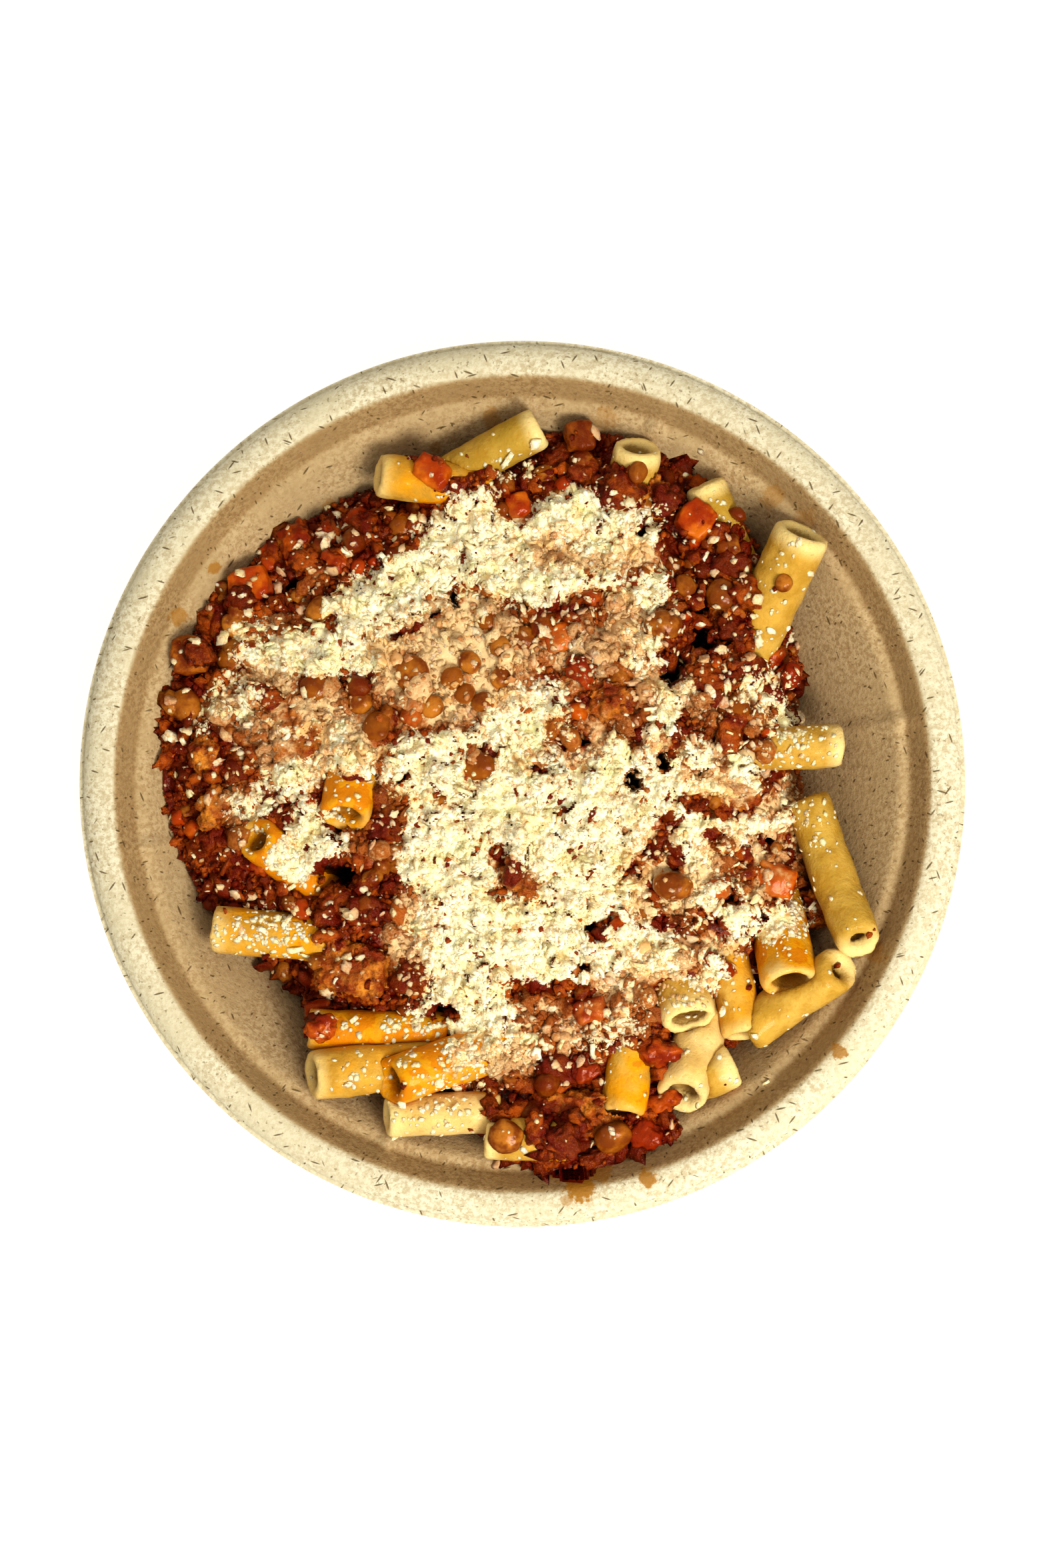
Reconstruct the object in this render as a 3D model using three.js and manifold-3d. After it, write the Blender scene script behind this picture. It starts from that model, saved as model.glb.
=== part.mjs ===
// Bowl of rigatoni bolognese: a moulded plant-fibre bowl, a heap of pasta in meat sauce, and the separate
// tubes of pasta, diced vegetables and lumps of meat that lie at its surface.
// Millimetres, +Z up. The origin is on the surface the bowl stands on, under the bowl's centre.
import * as THREE from "three";
import { mergeVertices } from "three/addons/utils/BufferGeometryUtils.js";
import Module from "manifold-3d";

const wasm = await Module();
wasm.setup();

// ---- Driving dimensions -------------------------------------------------------------------------------

const BOWL = {
  radius: 100,
  height: 50,
  wall: 1.2,
  footInner: 40, // the flat ring that the bowl stands on runs from here...
  footOuter: 53, // ...to here
  panelRise: 1, // how far the floor inside the foot is raised
  ledgeRadius: 87.2,
  ledgeHeight: 42.2,
  rimInner: 93.4,
  rimOuter: 96.4,
  lipDrop: 3,
};
const LUG = { count: 6, firstAngle: 9.5, radius: 87, height: 42.2, halfLength: 3.2, halfWidth: 2.1 };
const HEAP = {
  summit: 46,
  fall: 4, // how much lower the dome is at its edge than in the middle
  edge: 2.2, // how far the sauce's edge stands above the bowl's wall
  shoulder: 11, // the higher, the flatter the top and the steeper the flank
};
const HIDDEN_LUMP = { count: 60, spread: 78, radius: [6, 11], height: [1, 2.4] };
const PASTA = { wall: 2, length: 38, sides: 9, roomSides: 6 };
const DIE = { roundness: 0.55, uneven: 0.04, sunk: 0.18 }; // sunk: the share of its height below its seat
const MEAT = { roundness: 0.85, uneven: 0.07, sunk: 0.18 };
const GAP = 0.3; // clearance kept between neighbouring pieces
const ROUND = 36; // flat sides that stand for a full turn of the bowl and of the heap

const COLOUR = {
  fibre: 0xc9b596,
  sauce: 0x8a3512,
  pasta: 0xe9bf62,
  carrot: 0xd8481a,
  meat: 0x7c3515,
  mushroom: 0x8a5a24,
};

// ---- Small tools --------------------------------------------------------------------------------------

const { degToRad: degrees, euclideanModulo, lerp, smoothstep } = THREE.MathUtils;

// A repeatable stream of numbers from 0 to 1.
function randomStream(seed) {
  let state = seed;
  return () => {
    state = (state * 1664525 + 1013904223) % 4294967296;
    return state / 4294967296;
  };
}

// The height at x on the broken line through points, whose x only grows.
function alongLine(points, x) {
  const next = Math.max(points.findIndex((point) => point.x >= x), 1);
  const [a, b] = [points[next - 1], points[next]];
  return lerp(a.y, b.y, (x - a.x) / (b.x - a.x));
}

function toSolid(geometry) {
  const bare = new THREE.BufferGeometry();
  bare.setAttribute("position", geometry.getAttribute("position"));
  if (geometry.index) bare.setIndex(geometry.index);
  const merged = mergeVertices(bare, 1e-3);
  const corners = merged.index.array;
  const triVerts = [];
  for (let i = 0; i < corners.length; i += 3) {
    const [a, b, c] = corners.slice(i, i + 3);
    if (a !== b && b !== c && a !== c) triVerts.push(a, b, c);
  }
  return new wasm.Manifold(
    new wasm.Mesh({
      numProp: 3,
      vertProperties: merged.attributes.position.array,
      triVerts: new Uint32Array(triVerts),
    }),
  );
}

function toGeometry(solid) {
  const mesh = solid.getMesh();
  const geometry = new THREE.BufferGeometry();
  geometry.setAttribute("position", new THREE.BufferAttribute(mesh.vertProperties, 3));
  geometry.setIndex(new THREE.BufferAttribute(mesh.triVerts, 1));
  geometry.computeVertexNormals();
  return geometry;
}

// The largest of the separate bodies that a cut leaves.
function largestBody(solid) {
  const bodies = solid.decompose();
  return bodies.reduce((best, body) => (body.volume() > best.volume() ? body : best));
}

// Moves every vertex of a geometry to where place(x, y, z) says.
function moveVertices(geometry, place) {
  const position = geometry.getAttribute("position");
  for (let i = 0; i < position.count; i++) {
    position.setXYZ(i, ...place(position.getX(i), position.getY(i), position.getZ(i)));
  }
  return geometry;
}

// A lathed solid turned so that the profile's second number is the height.
function turned(profile, segments) {
  const points = profile.map(([radius, height]) => new THREE.Vector2(radius, height));
  return new THREE.LatheGeometry(points, segments).rotateX(Math.PI / 2);
}

function namedMesh(name, geometry, colour, roughness) {
  const material = new THREE.MeshStandardMaterial({ color: colour, roughness, metalness: 0 });
  const mesh = new THREE.Mesh(geometry, material);
  mesh.name = name;
  return mesh;
}

// ---- The bowl -----------------------------------------------------------------------------------------

// The upper face, from the floor's centre to the tip of the lip.
const upperFace = [
  [0, BOWL.wall + BOWL.panelRise],
  [BOWL.footInner, BOWL.wall + BOWL.panelRise],
  [BOWL.footInner + 3, BOWL.wall],
  [BOWL.footOuter, BOWL.wall],
  [BOWL.footOuter + 5.4, BOWL.wall + 2.4],
  [BOWL.footOuter + 9, BOWL.wall + 7.5],
  [BOWL.ledgeRadius - 1.1, BOWL.ledgeHeight - 0.9],
  [BOWL.ledgeRadius, BOWL.ledgeHeight],
  [BOWL.ledgeRadius + 1.7, BOWL.ledgeHeight + 1],
  [BOWL.rimInner - 2.1, BOWL.height - 1.4],
  [BOWL.rimInner, BOWL.height],
  [BOWL.rimOuter, BOWL.height],
  [BOWL.radius - 1.3, BOWL.height - 1.4],
  [BOWL.radius - 1.1, BOWL.height - BOWL.lipDrop],
  [BOWL.radius, BOWL.height - BOWL.lipDrop],
].map(([x, y]) => new THREE.Vector2(x, y));

// The upper face moved out by distance, square to itself, which gives the lower face.
function offsetFace(points, distance) {
  return points.map((point, i) => {
    const before = points[Math.max(i - 1, 0)];
    const after = points[Math.min(i + 1, points.length - 1)];
    const arriving = point.clone().sub(before).normalize();
    const leaving = after.clone().sub(point).normalize();
    const along = arriving.clone().add(leaving).normalize();
    const straight = i === 0 ? leaving : arriving;
    const reachOut = distance / along.dot(straight);
    return new THREE.Vector2(point.x + along.y * reachOut, point.y - along.x * reachOut);
  });
}

// The upper and lower faces, closed by the lip's edge, with the small bumps joined on.
function bowlSolid() {
  const lower = offsetFace(upperFace, BOWL.wall).slice(0, -2);
  const edge = new THREE.Vector2(BOWL.radius, BOWL.height - BOWL.lipDrop - BOWL.wall);
  const profile = [...lower, edge, ...upperFace.slice().reverse()].map(({ x, y }) => [x, y]);
  return lugSolids(0).reduce((solid, lug) => solid.add(lug), toSolid(turned(profile, ROUND)));
}

// The small bumps on the ledge, each larger by grow all round.
function lugSolids(grow) {
  return Array.from({ length: LUG.count }, (_, i) => {
    const lug = new THREE.OctahedronGeometry(1, 0)
      .scale(LUG.halfLength + grow, LUG.halfWidth + grow, LUG.halfWidth + grow)
      .translate(LUG.radius, 0, LUG.height)
      .rotateZ(degrees(LUG.firstAngle + (360 / LUG.count) * i));
    return toSolid(lug);
  });
}

// The bowl's inner face as a height for each radius.
function wallHeight(radius) {
  return alongLine(upperFace, radius);
}

// Everything inside the bowl, a gap away from its face, open far above it.
function cavitySolid() {
  const inside = offsetFace(upperFace, -GAP).filter(({ x }) => x < BOWL.rimInner);
  const top = { x: inside[inside.length - 1].x, y: 2 * BOWL.height };
  const profile = [...inside, top, { x: 0, y: top.y }].map(({ x, y }) => [x, y]);
  return lugSolids(2 * GAP).reduce((room, lug) => room.subtract(lug), toSolid(turned(profile, ROUND)));
}

// ---- The heap -----------------------------------------------------------------------------------------

// How far the sauce reaches from the bowl's centre, every 15 degrees from +X towards +Y.
const reach = [
  67, 68, 73, 78, 81, 84, 80, 76, 78, 80, 83, 84.5, 83, 81, 75, 72, 77, 79, 85, 85.5, 80, 77, 76, 72,
];

function heapReach(angle) {
  const place = euclideanModulo(angle / (2 * Math.PI), 1) * reach.length;
  const before = Math.floor(place) % reach.length;
  const after = (before + 1) % reach.length;
  return lerp(reach[before], reach[after], smoothstep(place % 1, 0, 1));
}

// The bulges that buried pasta and meat raise in the heap's top.
const random = randomStream(20260);
const bulges = Array.from({ length: HIDDEN_LUMP.count }, () => {
  const angle = random() * 2 * Math.PI;
  const distance = Math.sqrt(random()) * HIDDEN_LUMP.spread;
  return {
    x: Math.cos(angle) * distance,
    y: Math.sin(angle) * distance,
    radius: lerp(...HIDDEN_LUMP.radius, random()),
    height: lerp(...HIDDEN_LUMP.height, random()),
  };
});

function heapHeight(x, y) {
  const edge = heapReach(Math.atan2(y, x));
  const share = Math.min(Math.hypot(x, y) / edge, 1);
  const foot = wallHeight(edge) + HEAP.edge;
  const dome = HEAP.summit - HEAP.fall * share * share;
  const relief = bulges.reduce((highest, bulge) => {
    const near = 1 - ((x - bulge.x) ** 2 + (y - bulge.y) ** 2) / bulge.radius ** 2;
    return near > 0 ? Math.max(highest, bulge.height * Math.sqrt(near)) : highest;
  }, 0);
  return foot + (dome - foot + relief) * (1 - share ** HEAP.shoulder);
}

// A disc lathed with its rings at shares of the reach, then draped over the heap and down the bowl's wall.
function heapSolid() {
  const underRings = [0, 0.56, 0.72, 0.86].map((share) => [share, 0]);
  const topRings = [1, 0.98, 0.94, 0.87, 0.77, 0.65, 0.51, 0.36, 0.2, 0].map((share) => [share, 1]);
  const disc = turned([...underRings, ...topRings], ROUND);
  moveVertices(disc, (x, y, level) => {
    const angle = Math.atan2(y, x);
    const radius = Math.hypot(x, y) * heapReach(angle);
    const [px, py] = [Math.cos(angle) * radius, Math.sin(angle) * radius];
    const under = Math.max(wallHeight(radius), BOWL.wall + BOWL.panelRise) + 2 * GAP;
    return [px, py, level < 0.5 ? under : heapHeight(px, py)];
  });
  return toSolid(disc);
}

// ---- Pasta --------------------------------------------------------------------------------------------

// at is the middle of the mouth that shows. The tube runs from there at a heading in plan and a rise in
// degrees, below 0 where it dives into the heap. bend turns both ends up, and slant leans the mouth's cut
// back so that it opens upwards. A tube is trimmed by those before it, because soft pasta gives way.
const tubes = [
  { at: [63, 56.5, 49.5], heading: -113, rise: -27, radius: 6.3, flat: 0.05 },
  { at: [60.4, -45.1, 47.4], heading: 95, rise: -42, radius: 6.3, length: 32, flat: 0.1 },
  { at: [37.9, -53.6, 45.6], heading: 104, rise: -38, radius: 6.2, length: 32, flat: 0.1 },
  { at: [50.2, -57.6, 42], heading: 98, rise: -14, radius: 4.8, length: 32, slant: 10 },
  { at: [75.8, -35.4, 47.6], heading: 107, rise: -21, radius: 4.7, length: 36, bend: 34, slant: 16 },
  { at: [71.6, -41.6, 46.8], heading: 216, rise: -12, radius: 4.8, length: 26, slant: 24, bend: 26 },
  { at: [36.2, -71, 44.2], heading: 71, rise: -22, radius: 5.8, length: 30, slant: 24 },
  { at: [48, -64, 41.6], heading: 203, rise: 2, radius: 5.2, length: 16 },
  { at: [22.9, -75.2, 43], heading: 82, rise: -9, radius: 5.2, length: 28, slant: 8 },
  { at: [-30, -67.2, 48.4], heading: 17, rise: -14, radius: 5.6, length: 28, slant: 26 },
  { at: [-30.9, -75.3, 45], heading: 1, rise: -7, radius: 4.9, length: 26, slant: 8 },
  { at: [-47.8, -65.8, 46], heading: 4, rise: -10, radius: 5.7, length: 28, slant: 12 },
  { at: [-49, -56, 41.4], heading: -2, rise: -4, radius: 4.7, length: 32 },
  { at: [-8.8, -80.2, 44.8], heading: -1, rise: -3, radius: 5.2, length: 20 },
  { at: [-70.8, -33, 41.6], heading: -6, rise: -7, radius: 5.4, length: 32, bend: -8 },
  { at: [-60.6, -12, 46], heading: -42, rise: -27, radius: 5, length: 28, slant: 24 },
  { at: [-40.2, -7.6, 47], heading: 82, rise: -26, radius: 5.6, length: 26, flat: 0.18, slant: 22 },
  { at: [26.3, 76.5, 45.6], heading: -102, rise: -34, radius: 5.6, length: 30 },
  { at: [-32.8, 70.2, 44], heading: -6, rise: -8, radius: 5, length: 26, slant: 10 },
  { at: [3.8, 81, 45], heading: 207, rise: -12, radius: 4.8, length: 28, slant: -8 },
  { at: [41.6, 68.6, 41.6], heading: -66, rise: -10, radius: 4.9, length: 24 },
  { at: [73.6, 8.8, 38.6], heading: 182, rise: -4, radius: 5, length: 28 },
];

// A tube along +X from its mouth at the origin, as one closed profile: pasta is hollow, and the room that a
// tube needs is filled, longer and fatter by grow.
function tubeProfile({ radius, bend = 0 }, { hollow, grow }) {
  const stations = bend ? 3 : 1;
  const shares = Array.from({ length: stations + 1 }, (_, i) => i / stations);
  const outside = shares.map((share) => new THREE.Vector2(radius + grow, share));
  if (!hollow) return [new THREE.Vector2(0, 0), ...outside, new THREE.Vector2(0, 1)];
  const inside = shares.map((share) => new THREE.Vector2(radius - PASTA.wall, share)).reverse();
  return [...outside, ...inside, outside[0]];
}

// The profile turned about the tube's axis, then squashed, cut aslant at its mouth and bent in its upright
// plane.
function tubeGeometry(tube, { hollow = false, grow = 0, sides = PASTA.sides }) {
  const { length = PASTA.length, bend = 0, slant = 0, flat = 0 } = tube;
  const turn = degrees(bend);
  const arc = length / turn;
  const first = -turn / 2;
  const geometry = new THREE.LatheGeometry(tubeProfile(tube, { hollow, grow }), sides);
  return moveVertices(geometry, (across, share, up) => {
    const side = across * (1 + flat / 2);
    const lift = -up * (1 - flat);
    const lean = share === 0 ? Math.tan(degrees(slant)) * lift : 0;
    const along = lerp(-grow, length + grow, share) + lean;
    if (!bend) return [along, side, lift];
    const angle = first + (along / length) * turn;
    return [
      arc * (Math.sin(angle) - Math.sin(first)) - Math.sin(angle) * lift,
      side,
      arc * (Math.cos(first) - Math.cos(angle)) + Math.cos(angle) * lift,
    ];
  });
}

function tubePlace({ at, heading, rise }) {
  const place = new THREE.Object3D();
  place.position.set(...at);
  place.rotation.set(0, degrees(-rise), degrees(heading), "ZYX");
  place.updateMatrix();
  return place;
}

// ---- Vegetables and meat --------------------------------------------------------------------------------

// Diced carrot and mushroom: where each lies in plan, its length, width and height, how far it is turned in
// degrees, and how far it is raised above its usual seat in the heap.
const dice = [
  { name: "carrot", at: [-62.6, 45.6], size: [10.5, 8.5, 8], turn: 20 },
  { name: "carrot", at: [-20.5, 70.4], size: [9.5, 7.5, 6.5], turn: -30, raise: 14 },
  { name: "carrot", at: [-1, 63.6], size: [6.5, 6.5, 6], turn: 15 },
  { name: "carrot", at: [39.6, 60.2], size: [9.5, 9, 8], turn: 50, raise: 3.5 },
  { name: "carrot", at: [8.6, 33.2], size: [8.5, 7.5, 7], turn: 10 },
  { name: "carrot", at: [12.2, 26.6], size: [7, 6, 6], turn: -35, raise: -1 },
  { name: "carrot", at: [61.6, 25.4], size: [6, 5.5, 5.5], turn: 30, raise: 5.5 },
  { name: "carrot", at: [57.6, -22], size: [11, 8.5, 7.5], turn: -18, raise: 1 },
  { name: "carrot", at: [-46.6, -53.4], size: [7.5, 8.5, 7], turn: 10, raise: 8 },
  { name: "carrot", at: [15.4, -51.2], size: [8.5, 6, 6], turn: 15 },
  { name: "mushroom", at: [13.2, 79.4], size: [7.5, 7.5, 7], turn: 8, raise: 3 },
  { name: "mushroom", at: [-76, 29.4], size: [9.5, 10, 8], turn: 5, raise: 1.5 },
];

// Lumps of minced meat, described as the dice are.
const meatLumps = [
  { at: [8.6, 59.2], size: [15, 14, 11], turn: 20 },
  { at: [-38.6, -42.4], size: [21, 17, 13], turn: -15, raise: 1.5 },
  { at: [-51.6, 12.6], size: [16, 20, 11], turn: 10, raise: -1 },
  { at: [20.6, 18.8], size: [14, 12.5, 9], turn: 25 },
  { at: [0.4, -22.4], size: [15, 8, 7.5], turn: -36 },
  { at: [47.4, -0.8], size: [20, 12, 9], turn: -8 },
  { at: [-72.6, 7], size: [12, 8.5, 8], turn: 80, raise: 1.5 },
  { at: [-70.4, -5.6], size: [14, 9, 8], turn: 70, raise: 1 },
  { at: [28.6, 66.4], size: [14, 11, 9], turn: -35, raise: 1 },
  { at: [48.2, 43], size: [13, 14, 10], turn: 30, raise: 1.5 },
  { at: [67.6, -29.2], size: [7.5, 11.5, 8], turn: 15, raise: 5 },
  { at: [13.4, -75.4], size: [22, 14, 10], turn: 4, raise: 1 },
];

// A cube 2 across whose edges and corners are drawn in towards a ball.
function roundedCube(roundness) {
  return moveVertices(new THREE.BoxGeometry(2, 2, 2, 2, 2, 2), (x, y, z) => {
    const pull = lerp(1, 1 / Math.hypot(x, y, z), roundness);
    return [x * pull, y * pull, z * pull];
  });
}

// A rounded block brought to a size, its surface wandering in and out by a share of that size.
function morsel(kind, size, seed) {
  const wander = randomStream(seed);
  const drift = Array.from({ length: 3 }, () => wander() * 2 * Math.PI);
  return moveVertices(roundedCube(kind.roundness), (x, y, z) => {
    const waves = Math.sin(5 * x + drift[0]) * Math.cos(4 * y + drift[1]) + 0.6 * Math.sin(7 * z + drift[2]);
    return [x, y, z].map((c, i) => c * (1 + kind.uneven * waves) * (size[i] / 2));
  });
}

function morselPlace(kind, { at, size, turn, raise = 0 }) {
  const place = new THREE.Object3D();
  place.position.set(at[0], at[1], heapHeight(...at) - size[2] * kind.sunk + raise);
  place.rotation.set(0, 0, degrees(turn));
  place.updateMatrix();
  return place;
}

// ---- Assembly -------------------------------------------------------------------------------------------

// Each piece of food says what it is, where it lies, its own shape, the slightly larger shape that cuts room
// for it in the pieces below, and, where that has fewer sides, the one that cuts room in the heap.
function pastaPiece(tube, i) {
  const cornerShare = 1 / Math.cos(Math.PI / PASTA.roomSides) - 1;
  const toCorners = GAP + tube.radius * cornerShare;
  return {
    name: `rigatoni_${twoDigits(i + 1)}`,
    colour: COLOUR.pasta,
    roughness: 0.45,
    place: tubePlace(tube),
    shape: tubeGeometry(tube, { hollow: true }),
    room: tubeGeometry(tube, { grow: GAP }),
    heapRoom: tubeGeometry(tube, { grow: toCorners, sides: PASTA.roomSides }),
  };
}

function morselPiece(kind, block, name, colour, seed) {
  const roomSize = block.size.map((length) => length + 2.4 * GAP);
  return {
    name,
    colour,
    roughness: 0.45,
    place: morselPlace(kind, block),
    shape: morsel(kind, block.size, seed),
    room: morsel(kind, roomSize, seed),
  };
}

function twoDigits(number) {
  return String(number).padStart(2, "0");
}

// Numbers the dice of one name in the order of the list.
function dieName(die, i) {
  const before = dice.slice(0, i + 1).filter(({ name }) => name === die.name);
  return `${die.name}_${twoDigits(before.length)}`;
}

const pieces = [
  ...tubes.map(pastaPiece),
  ...dice.map((die, i) => morselPiece(DIE, die, dieName(die, i), COLOUR[die.name], 11 + i)),
  ...meatLumps.map((lump, i) => morselPiece(MEAT, lump, `meat_${twoDigits(i + 1)}`, COLOUR.meat, 41 + i)),
];

const dish = new THREE.Group();
dish.name = "rigatoni_bolognese";
dish.add(namedMesh("bowl", toGeometry(bowlSolid()), COLOUR.fibre, 0.85));

const food = new THREE.Group();
const cavity = cavitySolid();
const taken = [];
let heap = heapSolid();
for (const piece of pieces) {
  const world = (geometry) => toSolid(geometry.clone().applyMatrix4(piece.place.matrix));
  const whole = world(piece.shape).intersect(cavity);
  const solid = largestBody(taken.reduce((rest, room) => rest.subtract(room), whole));
  taken.push(world(piece.room));
  heap = heap.subtract(world(piece.heapRoom ?? piece.room));
  const trimmed = toGeometry(solid).applyMatrix4(piece.place.matrix.clone().invert());
  const mesh = namedMesh(piece.name, trimmed, piece.colour, piece.roughness);
  mesh.position.copy(piece.place.position);
  mesh.rotation.copy(piece.place.rotation);
  food.add(mesh);
}
food.add(namedMesh("sauce_heap", toGeometry(largestBody(heap)), COLOUR.sauce, 0.45));
dish.add(food);

export default dish;
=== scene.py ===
"""A bowl of rigatoni bolognese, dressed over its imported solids.

A moulded plant-fibre bowl is heaped with short pasta tubes in a chunky meat sauce. Diced carrot and mushroom,
lentils and lumps of mince lie in the sauce, and grated hard cheese has fallen over it all and partly melted.
Sizes are in millimetres in the classes and in metres in the finished meshes.
"""

from __future__ import annotations

import sys

import logging
import math
from dataclasses import dataclass, field
from enum import Enum
from typing import Callable, Sequence

import bmesh
import bpy
import numpy as np
from mathutils import Matrix, Vector, noise
from mathutils.bvhtree import BVHTree

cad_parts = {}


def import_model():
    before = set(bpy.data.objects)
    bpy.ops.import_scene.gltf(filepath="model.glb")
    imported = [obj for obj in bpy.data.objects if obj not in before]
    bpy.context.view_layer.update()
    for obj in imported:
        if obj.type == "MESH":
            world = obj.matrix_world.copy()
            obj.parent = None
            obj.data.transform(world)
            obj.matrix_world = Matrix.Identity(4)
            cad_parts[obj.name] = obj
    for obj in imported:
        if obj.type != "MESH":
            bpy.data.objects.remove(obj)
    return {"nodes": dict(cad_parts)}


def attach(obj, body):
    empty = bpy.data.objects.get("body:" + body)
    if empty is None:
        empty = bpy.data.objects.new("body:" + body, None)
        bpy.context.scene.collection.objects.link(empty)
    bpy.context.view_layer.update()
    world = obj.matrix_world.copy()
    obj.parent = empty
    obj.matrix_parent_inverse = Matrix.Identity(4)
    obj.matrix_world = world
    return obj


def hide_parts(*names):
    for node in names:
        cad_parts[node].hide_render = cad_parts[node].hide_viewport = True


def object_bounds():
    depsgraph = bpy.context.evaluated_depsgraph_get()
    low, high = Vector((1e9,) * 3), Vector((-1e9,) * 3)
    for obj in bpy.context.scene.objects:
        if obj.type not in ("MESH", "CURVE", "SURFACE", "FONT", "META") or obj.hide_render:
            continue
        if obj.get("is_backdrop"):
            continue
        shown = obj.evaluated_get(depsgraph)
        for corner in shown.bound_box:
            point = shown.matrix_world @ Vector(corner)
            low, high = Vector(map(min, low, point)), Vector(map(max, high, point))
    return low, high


MM = 0.001
BODY = "root"
LOG = logging.getLogger("rigatoni_bowl")
Colour = tuple[float, float, float, float]
Tree = bpy.types.NodeTree
Socket = bpy.types.NodeSocket
Piece = bpy.types.Object
Form = bmesh.types.BMesh
Array = np.ndarray


class Slot(Enum):
    """The record's material slots."""

    FIBRE = "moulded_fibre"
    PASTA = "pasta"
    SAUCE = "meat_sauce"
    MINCE = "minced_meat"
    CARROT = "carrot"
    MUSHROOM = "mushroom"
    LENTIL = "lentil"
    CHEESE = "grated_cheese"


class Ground(Enum):
    """What lies uppermost at a place in the bowl."""

    BOWL = 0
    SAUCE = 1
    PASTA = 2
    MORSEL = 3


# ---- Colour and material tools --------------------------------------------------------------------------


def linear(hex_code: str) -> Colour:
    """Turns an sRGB hex colour into the linear numbers that shaders use.

    Args:
        hex_code: six hex digits, such as "E8D9B5".

    Returns:
        Red, green, blue and an alpha of 1.
    """
    channels = [int(hex_code[i : i + 2], 16) / 255 for i in (0, 2, 4)]
    red, green, blue = (c / 12.92 if c <= 0.04045 else ((c + 0.055) / 1.055) ** 2.4 for c in channels)
    return red, green, blue, 1.0


def add_node(tree: Tree, kind: str, inputs: dict | None = None, out: int | str = 0, **settings: object) -> Socket:
    """Adds one node with its settings, constants and links.

    Args:
        tree: the material's node tree.
        kind: the node's type name without its "ShaderNode".
        inputs: for each input, named or numbered, a socket to link from or a constant.
        out: which of its outputs is wanted.
        **settings: the node's own properties.

    Returns:
        That output's socket.
    """
    node = tree.nodes.new("ShaderNode" + kind)
    for name, value in settings.items():
        setattr(node, name, value)
    for key, value in (inputs or {}).items():
        if isinstance(value, Socket):
            tree.links.new(value, node.inputs[key])
        else:
            node.inputs[key].default_value = value
    return node.outputs[out]


COLOURS = {"data_type": "RGBA"}  # a Mix node of colours: 0 is the share, 6 and 7 the colours, output 2 the mixture
SOFT = {"interpolation_type": "SMOOTHSTEP"}  # a MapRange node whose ends run out softly: 1 and 2 are its range
Coat = tuple[str, Socket, dict | None]  # a hex colour, what it follows, and over which range of that it comes in


@dataclass(frozen=True)
class Finish:
    """A material under construction: what every finish here shares."""

    name: str
    roughness: float
    ior: float = 1.4
    gloss: float = 0.5  # the shader's specular level
    depth: float = 0.0  # share of the light that scatters inside
    reach: tuple[float, float, float] = (1.2, 0.6, 0.3)  # how far it scatters, in mm, red first
    coat: float = 0.0  # a film of oil or sauce on top
    sheen: str = "FFFFFF"  # the colour of its own reflections below that film

    def material(self) -> bpy.types.Material:
        """Returns the finished material, made once for each finish."""
        found = bpy.data.materials.get(self.name)
        if found:
            return found
        made = bpy.data.materials.new(self.name)
        made.use_nodes = True
        tree = made.node_tree
        shader = tree.nodes["Principled BSDF"]
        constants = {
            "Roughness": self.roughness, "IOR": self.ior, "Specular IOR Level": self.gloss,
            "Subsurface Weight": self.depth, "Subsurface Radius": self.reach, "Subsurface Scale": MM,
            "Coat Weight": self.coat, "Coat Roughness": 0.07, "Specular Tint": linear(self.sheen),
        }
        for name, value in constants.items():
            shader.inputs[name].default_value = value
        where = add_node(tree, "TexCoord", out="Object")
        for name, socket in self.paint(tree, where).items():
            tree.links.new(socket, shader.inputs[name])
        return made

    def paint(self, tree: Tree, where: Socket) -> dict[str, Socket]:
        """Adds this finish's own colour and relief.

        Args:
            tree: the material's node tree.
            where: the place on the object, in metres.

        Returns:
            The sockets to link, by the name of the shader's input.
        """
        raise NotImplementedError

    @staticmethod
    def coated(tree: Tree, colour: Colour | Socket, coats: Sequence[Coat]) -> Socket:
        """Lays coats of colour one over another.

        Args:
            tree: the material's node tree.
            colour: what lies below them all.
            coats: the coats, the lowest first.

        Returns:
            The socket of the colour that shows.
        """
        for tint, guide, reach in coats:
            share = add_node(tree, "MapRange", {0: guide, **reach}, **SOFT) if reach else guide
            colour = add_node(tree, "Mix", {0: share, 6: colour, 7: linear(tint)}, 2, **COLOURS)
        return colour


# ---- Finishes -------------------------------------------------------------------------------------------


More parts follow.
